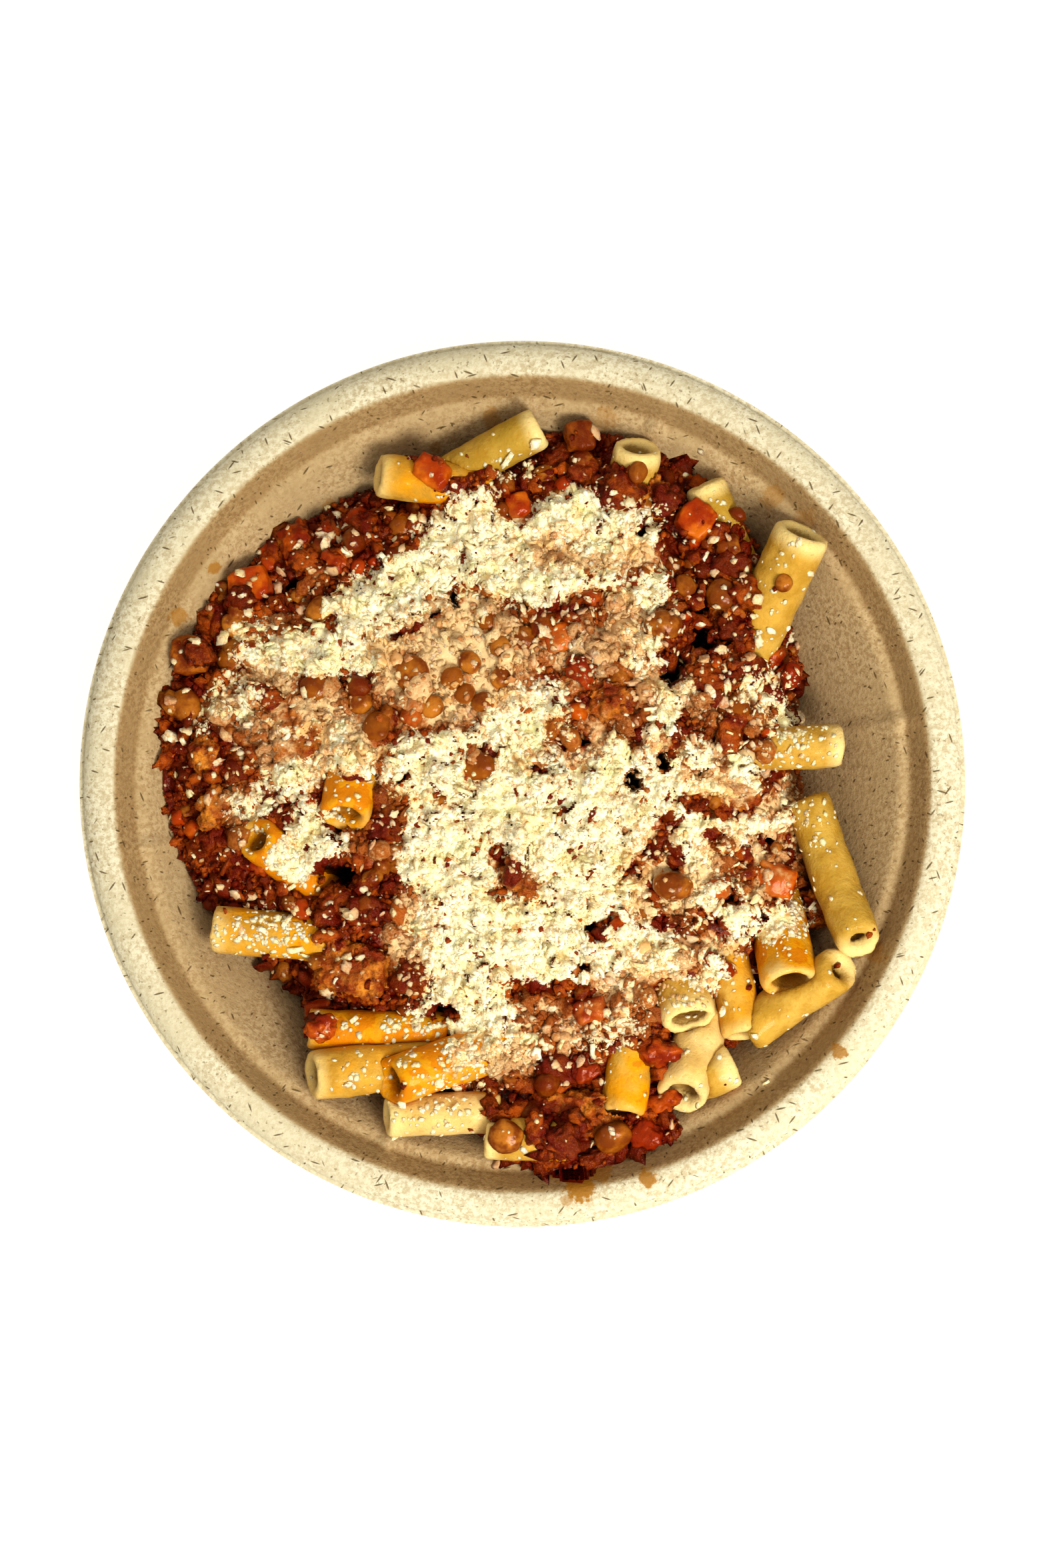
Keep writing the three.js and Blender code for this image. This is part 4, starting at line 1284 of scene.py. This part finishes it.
@dataclass
class LaidPieces:
    """Soft rounded pieces of one kind, each laid where it lies in the dish and all joined into one."""

    name: str
    finish: Finish
    slot: Slot
    places: tuple[Place, ...]
    thickness: float = 0.62  # as a share of the width
    proud: float = 0.2  # how far its middle is above the sauce, as a share of half the width
    rough: float = 0.1
    lump: float = 2.4  # how wide its dents are, in mm
    crumbly: float = 0.0  # how high the crumbs on its skin are, in mm
    settle: float = 1.6  # the higher, the flatter it lies on a slope
    clear: float = 0.15  # how far it stays off the bowl's face, in mm

    def build(self, surface: HeightField, fall: CheeseFall) -> Piece:
        """Shapes each piece and lays it on the sauce.

        Args:
            surface: what the pieces lie on.
            fall: where cheese has melted on them.

        Returns:
            The joined piece.
        """
        mesh = bmesh.new()
        shell = BowlShell()
        shade, painted_shade_and_soak, milky = number_layers(mesh, "shade", "painted_shade_and_soak", "milky")
        for number, (x, y, length, width, turned) in enumerate(self.places):
            spot = np.array([float(x)]), np.array([float(y)])
            level, normal = float(surface.at(*spot)[0]), Vector(surface.normals(*spot)[0])
            normal = (normal + Vector((0, 0, self.settle))).normalized()
            form = bmesh.ops.create_icosphere(mesh, subdivisions=4, radius=0.5)["verts"]
            bmesh.ops.scale(mesh, vec=Vector((length, width, width * self.thickness)) * MM, verts=form)
            turn = normal.to_track_quat("Z", "Y").to_matrix() @ Matrix.Rotation(math.radians(turned), 3, "Z")
            bmesh.ops.rotate(mesh, cent=(0, 0, 0), matrix=turn, verts=form)
            middle = Vector((x, y, level + self.proud * width * 0.5))
            bmesh.ops.translate(mesh, vec=middle * MM, verts=form)
            film = float(fall.veil(*spot)[0])
            for vert in form:
                place = vert.co / MM
                up = (place - middle).dot(normal) / (0.5 * width * self.thickness)
                dent = noise.noise(place / self.lump) + 0.5 * noise.noise(place / (0.4 * self.lump))
                vert.co += (place - middle) * MM * self.rough * dent
                crumbs = crag(place, 2.2) + 0.6 * crag(place, 1.3) if self.crumbly else 0.0
                vert.co += (place - middle).normalized() * MM * self.crumbly * crumbs
                vert.co.z = max(vert.co.z, (float(shell.inner_height(vert.co.xy.length / MM)) + self.clear) * MM)
                vert[shade] = 0.4 + 0.3 * math.sin(number * 2.4) + 0.3 * noise.noise(place / 2)
                # painted shade on each piece's underside and in the cracks between its crumbs
                vert[painted_shade_and_soak] = clamp(0.4 - 0.9 * up - 0.5 * crumbs, high=0.85)
                vert[milky] = film * clamp(0.7 - 0.8 * up)
        return finished(self.name, mesh, self.finish)


LENTILS = LaidPieces("lentils", LENTIL, Slot.LENTIL, (
    (-25, 25, 8.4, 7.6, 0), (-37, 18.5, 6, 5.6, 20), (-33, 13, 7.2, 6.4, 40), (-20.5, 17.5, 5.6, 5, 0),
    (-9, 18.5, 5.4, 5, 0), (-16, 24, 5.6, 5, 0), (-12, 27.5, 5.6, 5, 0), (-10, 4, 8.6, 6.4, 80),
    (-18, -4.5, 4.4, 4.2, 0), (34, -23, 6.6, 9.4, 5), (-47, 22, 6.8, 6.2, 0), (-3.8, -79, 8, 7.6, 0),
    (20.5, -80, 8.6, 8, 0), (0.5, 33, 5.6, 5.2, 0), (-5, 31, 5, 4.8, 0), (-8, 37, 5, 4.8, 0), (1.5, -8, 6.2, 5.6, 0),
    (-23, 52, 5, 4.8, 0), (-28, 59, 6, 5.4, 0), (-66, 36, 6.6, 4.8, 60), (-67, 28.5, 6.6, 6.2, 0),
    (-77, 18, 7.8, 7.4, 0), (-46, 40, 6.6, 6, 0), (-13, 20.5, 5, 4.8, 0), (-5, 24, 5, 4.8, 0), (37, 45, 5.4, 5, 0),
    (26, 70, 5, 4.6, 0), (5, 71, 5.4, 5, 0), (48, 17, 7.6, 7.4, 0), (5.5, 12, 5, 4.8, 0), (32, 36, 6.6, 8.6, 0),
    (45, 43, 7.4, 7, 0), (58.5, 45, 4, 4.2, 0),
))
TOMATO_PIECES = LaidPieces("tomato_pieces", TOMATO, Slot.SAUCE, (
    (31, -61, 6.5, 10, 5), (32.5, -72.5, 5.5, 8, -30), (28.5, -80, 8, 7, 0), (-52, 56, 9.5, 8.6, 20),
    (-45, 57, 7, 5, 70), (13, 25.5, 8, 6, -30), (58, 29, 6, 5.4, 0), (44.5, -41, 4, 8, -10), (24, 60, 6, 5, 10),
    (-60, -19, 5, 4, 0), (62, 24.5, 5.6, 5, 0), (-70, 4, 5, 4, 0), (15, -66, 6, 4.6, 30), (-43, 51, 6, 4.4, 60),
    (-45.6, -55.4, 6, 7.5, 0),
), thickness=0.55, proud=0.2, rough=0.42, lump=3.2, crumbly=0.2)
MINCE_PIECES = LaidPieces("mince_pieces", CRUMB, Slot.MINCE, (
    (-1.5, -19, 9, 5, -40), (-41.5, -26.5, 8, 7, 10), (-34, -28.5, 9, 7, 40), (47, 12, 10, 8, 0),
    (-24.5, -43.5, 9, 10.5, 0), (-31, -10, 8, 8, 0), (-50, 51, 7, 6, 0), (32, 64, 8, 7, 30), (22.5, 67, 11, 9, 0),
    (15, 72, 8, 8, 0), (47, 50, 8, 9, 0), (3.5, -77, 6, 8, 0), (9, -80, 9, 8, 0), (5, -73, 7, 6, 0),
    (50.5, 43, 7, 9, 0), (48, 36, 6, 8, 0), (-58, 20, 6, 9, -30), (-73, 30, 8, 7, 0), (8, -65, 12, 8, 20),
    (12, -77, 9, 7, 0), (-64, 42, 7, 6, 0), (-36, 60, 8, 6, 40), (42, 24, 9, 8, 30), (57, 22, 8, 7, 0),
    (-66, -18, 9, 6, 10), (-74, -15, 6, 7, 0), (8, 75, 8, 7, 0), (60, -8, 5, 7, 0), (-8, -68, 6, 5, 0),
    (-38, 3, 9, 5, 0), (5, -86, 6, 4, 0), (16, -85, 7, 4, 0),
), thickness=0.6, proud=0.2, rough=0.4, lump=3.4, crumbly=0.45)


# ---- Strewn things --------------------------------------------------------------------------------------


@dataclass
class Shower:
    """Many loose bits of one kind, all landed on the dish and joined into one piece."""

    name: str
    finish: Finish
    slot: Slot
    count: int
    size: tuple[float, float]  # smallest and largest bit, in mm
    form: Callable[[int], Form]  # makes one bit 1 mm wide; the number picks one of its variants
    share: Callable[[Array, Array, Array], Array]  # chance of staying, from x, y and ground
    flatness: tuple[float, float] = (0.6, 1.0)  # a bit's thickness as a share of its width
    stretch: tuple[float, float] = (0.8, 1.25)  # a bit's length as a share of its width
    tumble: float = 0.6  # how far bits lean away from the surface
    sunk: float = 0.25  # how much of a bit is below the surface
    shade: tuple[float, float] = (0.0, 1.0)
    foot: float = 0.38  # how strongly a bit's lower end is painted darker as shade
    small: float = 1.8  # the higher, the more small bits there are among the large ones
    uneven: float = 0.16
    soak: float = 0.0  # how strongly sauce can tint a bit where nothing else covers it
    pasta_soak: float = 0.3  # how much of that is left on pasta
    variants: int = 5
    reach: float = 88.0
    clear: float = 0.1  # how far bits stay off the bowl's face, in mm

    def land(self, surface: HeightField, fall: CheeseFall, rng: np.random.Generator) -> Piece:
        """Lets the bits fall, keeps those that stay and joins them.

        Args:
            surface: what they fall on.
            fall: where cheese has melted on them.
            rng: the seeded random source.

        Returns:
            The piece.
        """
        x, y = self.places(surface, rng)
        count = len(x)
        width = self.size[0] + (self.size[1] - self.size[0]) * rng.random(count) ** self.small
        length, height = width * rng.uniform(*self.stretch, count), width * rng.uniform(*self.flatness, count)
        size = np.stack([length, width, height], 1)
        normals = surface.normals(x, y)
        up = normals + self.tumble * rng.normal(size=(count, 3))
        up /= np.linalg.norm(up, axis=1, keepdims=True)
        side = np.cross(up, rng.normal(size=(count, 3)))
        side /= np.linalg.norm(side, axis=1, keepdims=True)
        turns = np.stack([side, np.cross(up, side), up], axis=2)
        centres = np.stack([x, y, surface.at(x, y)], 1) + normals * (size[:, 2:] * (0.5 - self.sunk))
        bits = [self.form(kind) for kind in range(self.variants)]
        corners = np.array([[vert.co for vert in bit.verts] for bit in bits])
        faces = np.array([[vert.index for vert in face.verts] for face in bits[0].faces])
        for bit in bits:
            bit.free()
        jitter = 1 + rng.uniform(-self.uneven, self.uneven, (count, corners.shape[1], 1))
        shaped = corners[rng.integers(self.variants, size=count)] * jitter * size[:, None, :]
        points = np.einsum("nij,nkj->nki", turns, shaped) + centres[:, None, :]
        wall = BowlShell().inner_height(np.hypot(points[:, :, 0], points[:, :, 1]))
        points[:, :, 2] = np.maximum(points[:, :, 2], wall + self.clear)
        low, high = points[:, :, 2].min(1, keepdims=True), points[:, :, 2].max(1, keepdims=True)
        raised = (points[:, :, 2] - low) / (high - low)
        film = fall.veil(x, y, 0.3)[:, None]
        sauce = np.where(surface.ground_at(x, y) == Ground.PASTA.value, self.pasta_soak, 1.0)
        sauce = sauce * (1 - np.clip(2 * fall.cover(x, y), 0, 1))
        soaked = self.soak * rng.uniform(0.3, 1, (count, 1)) * sauce[:, None]
        layers = {
            "shade": np.repeat(rng.uniform(*self.shade, (count, 1)), corners.shape[1], 1),
            # painted shade at each bit's lower end, less under melted cheese, plus sauce soaked into bits that lie on
            # bare sauce
            "painted_shade_and_soak": np.clip(self.foot * (1.15 - 1.5 * raised) * (1 - 0.7 * np.clip(film, 0, 1)) + soaked, 0, 1),
            "milky": film * (1.0 - 0.2 * raised),
        }
        return self.joined(points, faces, layers)

    def places(self, surface: HeightField, rng: np.random.Generator) -> tuple[Array, Array]:
        """Returns where the bits that stay have landed, in mm."""
        xs, ys = np.empty(0), np.empty(0)
        while len(xs) < self.count:
            angle = rng.uniform(0, 2 * math.pi, 4 * self.count)
            radius = self.reach * np.sqrt(rng.random(4 * self.count))
            x, y = radius * np.cos(angle), radius * np.sin(angle)
            stay = rng.random(len(x)) < self.share(x, y, surface.ground_at(x, y))
            xs, ys = np.concatenate([xs, x[stay]]), np.concatenate([ys, y[stay]])
        return xs[: self.count], ys[: self.count]

    def joined(self, points: Array, faces: Array, layers: dict[str, Array]) -> Piece:
        """Joins the bits into one mesh.

        Args:
            points: the corners of each bit, in mm.
            faces: the corners of each face of one bit.
            layers: the numbers to store on each corner, by name.

        Returns:
            The piece.
        """
        count, per_bit, sides = len(points), points.shape[1], faces.shape[1]
        mesh = bpy.data.meshes.new(self.name)
        mesh.vertices.add(count * per_bit)
        mesh.vertices.foreach_set("co", (points * MM).ravel())
        loops = (faces[None] + np.arange(count)[:, None, None] * per_bit).ravel()
        mesh.loops.add(len(loops))
        mesh.loops.foreach_set("vertex_index", loops)
        mesh.polygons.add(count * len(faces))
        mesh.polygons.foreach_set("loop_start", np.arange(0, len(loops), sides))
        mesh.update(calc_edges=True)
        for name, values in layers.items():
            layer = mesh.attributes.new(name, "FLOAT", "POINT")
            layer.data.foreach_set("value", values.ravel())
        return finished(self.name, mesh, self.finish)


def crumb_form(rounds: int, rough: float) -> Callable[[int], Form]:
    """Returns a maker of crumbs 1 mm wide.

    Args:
        rounds: 1 for 20 faces, 2 for 80.
        rough: how strongly they bulge and dent.
    """

    def form(kind: int) -> Form:
        """Returns one crumb."""
        bit = bmesh.new()
        bmesh.ops.create_icosphere(bit, subdivisions=rounds, radius=0.5)
        for vert in bit.verts:
            vert.co *= 1 + rough * noise.noise(vert.co * 3.1 + Vector((7.7 * kind, 0, 0)))
        return bit

    return form


def die_form(kind: int) -> Form:
    """Returns a small cut block 1 mm wide with softened, uneven edges."""
    bit = bmesh.new()
    bmesh.ops.create_cube(bit, size=0.82)
    bmesh.ops.subdivide_edges(bit, edges=bit.edges, cuts=1, use_grid_fill=True, smooth=0.55)
    for vert in bit.verts:
        vert.co *= 1 + 0.3 * noise.noise(vert.co * 2.3 + Vector((7.7 * kind, 0, 0)))
    bmesh.ops.triangulate(bit, faces=bit.faces)
    return bit


def shred_form(kind: int) -> Form:
    """Returns a thin curl of cheese 1 mm long, square across and more or less bent."""
    bit = bmesh.new()
    bmesh.ops.create_cube(bit, size=1)
    bmesh.ops.scale(bit, vec=(1, 0.3, 0.24), verts=bit.verts)
    for cut in (-0.2, 0.2):
        geometry = bit.verts[:] + bit.edges[:] + bit.faces[:]
        bmesh.ops.bisect_plane(bit, geom=geometry, plane_co=(cut, 0, 0), plane_no=(1, 0, 0))
    for vert in bit.verts:
        vert.co.z += 0.16 - (0.3 + 0.2 * kind) * vert.co.x**2
    bmesh.ops.triangulate(bit, faces=bit.faces)
    return bit


# ---- Cheese ---------------------------------------------------------------------------------------------


@dataclass
class CheeseBlanket:
    """The drifts themselves: a crumbly layer that comes up out of the sauce and goes back into it."""

    fall: CheeseFall
    surface: HeightField
    pitch: float = 0.45
    half: float = 74.25
    threshold: float = 0.3  # how much cheese it takes to make a layer
    slips: float = 0.2  # how much more it takes on pasta
    full: float = 0.45  # how much beyond that makes it full thickness
    thickness: float = 0.9
    grain: float = 1.3
    ragged: float = 0.12
    cliff: float = 1.7  # how far the layer may fall from one corner to the next before it tears
    tucked: float = 0.7  # how far its edge goes down into what it lies on
    skirt: float = 0.8  # how far it is closed below its edge

    def build(self) -> Piece:
        """Lays the layer over everything below it and keeps what stands out."""
        mesh, places = flat_sheet(self.half, self.pitch)
        x, y = places[:, 0], places[:, 1]
        cover, base = self.fall.cover(x, y), self.surface.at(x, y)
        wet = self.fall.veil(x, y, 0.6)
        held = np.where(self.surface.ground_at(x, y) == Ground.PASTA.value, self.slips, 0.0)
        spare = cover - self.threshold - held
        shade, painted_shade_and_soak, milky = number_layers(mesh, "shade", "painted_shade_and_soak", "milky")
        buried = set()
        for vert, extra, level, melt in zip(list(mesh.verts), spare, base, wet):
            if extra < -0.25:
                buried.add(vert)
                continue
            place = Vector((vert.co.x / MM, vert.co.y / MM, 0))
            grains = crag(place + 0.4 * noise.noise_vector(place / 1.3), self.grain)
            swell = noise.noise(place / 4.5) + 0.5 * noise.noise(place / 2)
            body = min(extra / self.full, 1.0)
            lift = self.thickness * body * (1 + 0.45 * swell) + self.ragged * grains
            vert.co.z = (level + lift) * MM
            thin = clamp(0.7 - 1.1 * body, high=0.8)
            # painted shade in the low places between grains and swells; thin parts take on the sauce's tint
            vert[shade] = clamp(0.1 - 0.2 * grains - 0.4 * swell + thin)
            vert[painted_shade_and_soak] = clamp(-0.25 * grains - 0.5 * swell - 0.4 + 0.4 * thin, high=0.6)
            vert[milky] = clamp(0.8 * melt + thin - 0.35 * body - 0.4 * swell)
            if lift < -0.35:
                buried.add(vert)
        gone = [face for face in mesh.faces if all(vert in buried for vert in face.verts)]
        bmesh.ops.delete(mesh, geom=gone, context="FACES")
        for vert in mesh.verts:
            if vert in buried:
                spot = np.array([vert.co.x / MM]), np.array([vert.co.y / MM])
                vert.co.z = (float(self.surface.at(*spot)[0]) - self.tucked) * MM
        torn = [face for face in mesh.faces if self.drop(face) > self.cliff]
        bmesh.ops.delete(mesh, geom=torn, context="FACES")
        self.close_below(mesh)
        return finished("cheese_drifts", mesh, CHEESE)

    @staticmethod
    def drop(face: bmesh.types.BMFace) -> float:
        """Returns how far a face falls from its highest to its lowest corner, in mm."""
        heights = [vert.co.z for vert in face.verts]
        return (max(heights) - min(heights)) / MM

    @staticmethod
    def close_below(mesh: Form) -> None:
        """Gives the layer a thin underside so that it is closed."""
        loose = [vert for vert in mesh.verts if not vert.link_faces]
        bmesh.ops.delete(mesh, geom=loose, context="VERTS")
        rim = [edge for edge in mesh.edges if edge.is_boundary]
        drawn = bmesh.ops.extrude_edge_only(mesh, edges=rim)["geom"]
        for vert in (item for item in drawn if isinstance(item, bmesh.types.BMVert)):
            vert.co.z -= CheeseBlanket.skirt * MM


# ---- The dish -------------------------------------------------------------------------------------------


@dataclass
class Dish:
    """The whole dish, built from the bowl upwards."""

    nodes: dict[str, Piece]
    seed: int = 5
    reach: float = 88.0  # how far out things fall, in mm
    coarse: float = 0.5  # how closely the surface is read for meat, in mm
    fine: float = 0.4  # and for cheese
    grounds: dict[Piece, Ground] = field(default_factory=dict)
    fall: CheeseFall = field(default_factory=CheeseFall)

    def build(self) -> None:
        """Builds every piece in the order in which it was put in the bowl."""
        rng = np.random.default_rng(self.seed)
        bowl = BowlShell()
        self.grounds[bowl.build()] = Ground.BOWL
        heap = SauceHeap(bowl, self.nodes, self.fall)
        self.grounds[heap.build()] = Ground.SAUCE
        self.add_pasta(heap.level)
        self.add_morsels(heap.veil)
        surface = HeightField.over(self.grounds, self.reach, self.coarse)
        self.strew_meat(surface, rng)
        self.grounds[LENTILS.build(surface, self.fall)] = Ground.MORSEL
        surface = HeightField.over(self.grounds, self.reach, self.fine)
        blanket = CheeseBlanket(self.fall, surface).build()
        self.strew_cheese(surface.raised_to(blanket), rng)

    def add_pasta(self, sauce: HeightField) -> None:
        """Adds the tubes that show."""
        names = sorted(name for name in self.nodes if name.startswith("rigatoni"))
        for name, looks in zip(names, TUBE_LOOKS):
            self.grounds[PastaTube(self.nodes[name], *looks, sauce).build()] = Ground.PASTA

    def add_morsels(self, veil: HeightField) -> None:
        """Adds the dice and the lumps of mince, which melted cheese veils in places."""
        for name in sorted(self.nodes):
            if name.startswith("carrot"):
                look = TOMATO if name in BROWNED_CARROTS else CARROT
                self.grounds[Dice(self.nodes[name], look, Slot.CARROT, veil).build()] = Ground.MORSEL
            elif name.startswith("mushroom"):
                self.grounds[Dice(self.nodes[name], MUSHROOM, Slot.MUSHROOM, veil).build()] = Ground.MORSEL
            elif name.startswith("meat"):
                self.grounds[MinceLump(self.nodes[name], veil).build()] = Ground.MORSEL

    def strew_meat(self, surface: HeightField, rng: np.random.Generator) -> None:
        """Lays tomato and mince and strews crumbs of mince and small diced vegetables over the sauce.

        Args:
            surface: what they fall on.
            rng: the seeded random source.
        """
        hold = np.array([0.0004, 1.0, 0.004, 0.06])  # in the order of Ground

        def on_sauce(x: Array, y: Array, ground: Array) -> Array:
            """Returns the chance of staying at each place, which is high on sauce alone."""
            free = 1 - np.clip(1.5 * gaps(x, y), 0, 1)
            return hold[ground] * free * (1 - 0.6 * np.clip(strongest(self.fall.melted, x, y), 0, 1))

        for laid in (TOMATO_PIECES, MINCE_PIECES):
            self.grounds[laid.build(surface, self.fall)] = Ground.SAUCE
        showers = (
            Shower(
                "mince_crumbs", CRUMB, Slot.MINCE, 2300, (1.3, 4.4), crumb_form(2, 0.9), on_sauce, sunk=0.42,
                tumble=1.5, flatness=(0.45, 0.9), stretch=(0.8, 1.7), uneven=0.13, variants=9,
            ),
            Shower(
                "onion_dice", CELERY, Slot.SAUCE, 190, (2.2, 5.0), die_form, on_sauce, sunk=0.4, tumble=1.0,
                shade=(0, 0.8),
            ),
            Shower(
                "carrot_dice", CARROT, Slot.CARROT, 60, (1.8, 4.2), die_form, on_sauce, sunk=0.45, tumble=1.0,
                shade=(0, 0.5),
            ),
        )
        for shower in showers:
            self.grounds[shower.land(surface, self.fall, rng)] = Ground.SAUCE
        fine = Shower(
            "mince_grains", CRUMB, Slot.MINCE, 7400, (0.6, 1.9), crumb_form(1, 0.9), on_sauce, tumble=1.5,
            stretch=(0.8, 1.6), uneven=0.22,
        )
        fine.land(surface, self.fall, rng)

    def strew_cheese(self, surface: HeightField, rng: np.random.Generator) -> None:
        """Strews the loose cheese: powder, grains, clumps and shreds.

        Args:
            surface: what it falls on.
            rng: the seeded random source.
        """
        powder, grains, clumps, shreds = (
            self.fall.chance(*numbers)
            for numbers in (
                (0.012, 0.8, 1.1), (0.07, 0.75, 1.0, 0.2, 1.2), (0.35, 0.4, 1.0, 0.35, 0.08), (0.04, 0.9, 1.2)
            )
        )
        showers = (
            Shower(
                "cheese_powder", CHEESE, Slot.CHEESE, 9000, (0.4, 0.95), crumb_form(1, 0.5), powder,
                shade=(0.0, 0.4), tumble=0.6, flatness=(0.45, 0.75), foot=0.08, sunk=0.6, soak=0.8,
            ),
            Shower(
                "cheese_grains", CHEESE, Slot.CHEESE, 8600, (0.6, 1.6), crumb_form(1, 0.6), grains,
                shade=(0.0, 0.35), tumble=0.3, flatness=(0.28, 0.5), stretch=(0.9, 1.6), foot=0.1, sunk=0.48,
                soak=0.8,
            ),
            Shower(
                "cheese_clumps", CHEESE, Slot.CHEESE, 620, (1.3, 2.8), crumb_form(2, 0.7), clumps,
                shade=(0.0, 0.3), tumble=0.4, flatness=(0.35, 0.6), small=2.2, stretch=(0.9, 1.5), foot=0.14,
                soak=0.7,
            ),
            Shower(
                "cheese_shreds", CHEESE, Slot.CHEESE, 420, (1.4, 3.6), shred_form, shreds,
                shade=(0.0, 0.4), tumble=0.3, flatness=(0.8, 1.0), stretch=(0.9, 1.3), foot=0.1, sunk=0.4,
            ),
        )
        for shower in showers:
            shower.land(surface, self.fall, rng)


# ---- Studio ---------------------------------------------------------------------------------------------


@dataclass
class Studio:
    """White paper, one soft light from the lower right, small ones for a wet gleam, and a camera straight above."""

    eye: float = 470.0  # height of the lens, in mm
    rim: float = 50.0
    view: float = 351.4  # how much the tall side of the frame takes in at the rim's height, in mm
    sensor: float = 36.0
    aim: float = 40.0  # the height that the lights are turned to, in mm
    key_from: tuple[float, float, float] = (0.4, -0.48, 0.8)
    key_distance: float = 0.55
    key_size: float = 0.2
    key_power: float = 2.75
    glints_from: tuple[tuple[float, float, float], ...] = (
        (-0.3, 0.35, 0.9), (0.1, 0.55, 0.8), (-0.45, -0.3, 0.8), (0.35, 0.15, 0.9), (0.1, -0.35, 0.9),
    )
    glint_size: float = 0.025
    glint_power: float = 0.1
    sky: float = 0.5

    def build(self) -> None:
        """Lays the paper and places the lights and the camera."""
        paper = bmesh.new()
        bmesh.ops.create_grid(paper, x_segments=8, y_segments=8, size=3)
        bmesh.ops.translate(paper, vec=(0, 0, -0.15 * MM), verts=paper.verts)
        data = bpy.data.meshes.new("paper_floor")
        paper.to_mesh(data)
        paper.free()
        data.materials.append(PAPER.material())
        floor = placed("paper_floor", data)
        floor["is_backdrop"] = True
        self.add_light("key", Vector(self.key_from), self.key_distance, self.key_size, self.key_power)
        for number, way in enumerate(self.glints_from):
            self.add_light(f"glint_{number}", Vector(way), self.key_distance, self.glint_size, self.glint_power)
        world = bpy.data.worlds.new("studio_air")
        world.use_nodes = True
        for name, value in (("Color", (1, 1, 1, 1)), ("Strength", self.sky)):
            world.node_tree.nodes["Background"].inputs[name].default_value = value
        bpy.context.scene.world = world
        bpy.context.scene.view_settings.view_transform = "Standard"
        bpy.context.scene.view_settings.look = "Medium High Contrast"
        self.add_camera()

    def add_light(self, name: str, way: Vector, distance: float, size: float, power: float) -> None:
        """Adds a square soft light that faces the dish.

        Args:
            name: its name.
            way: the direction from the dish to it.
            distance: how far off it is, in metres.
            size: its side, in metres.
            power: its power, in watts.
        """
        data = bpy.data.lights.new(name, "AREA")
        data.size = size
        data.energy = power
        light = placed(name, data)
        light.location = way.normalized() * distance + Vector((0, 0, self.aim * MM))
        light.rotation_euler = way.to_track_quat("Z", "Y").to_euler()

    def add_camera(self) -> None:
        """Adds the camera above the bowl's middle, looking straight down."""
        data = bpy.data.cameras.new("camera")
        data.sensor_width = self.sensor
        data.lens = self.sensor * (self.eye - self.rim) / self.view
        data.clip_start = 0.01
        camera = placed("camera", data)
        camera.location = (0, 0, self.eye * MM)
        bpy.context.scene.camera = camera


def as_lists(bounds: object) -> object:
    """Returns bounds as plain lists of numbers."""
    if isinstance(bounds, dict):
        return {key: as_lists(value) for key, value in bounds.items()}
    if isinstance(bounds, (Vector, tuple, list)):
        return [as_lists(value) for value in bounds]
    return float(bounds)


def main() -> None:
    """Builds the dish and the studio, and notes the size of the solids and of the dressed dish."""
    logging.basicConfig(level=logging.INFO, format="%(message)s", stream=sys.stdout)
    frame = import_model()
    solid_box = as_lists(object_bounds())
    Dish(frame["nodes"]).build()
    Studio().build()
    dressed_box = as_lists(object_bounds())
    LOG.info("solids %s, dressed %s", solid_box, dressed_box)


if __name__ == "__main__":
    main()
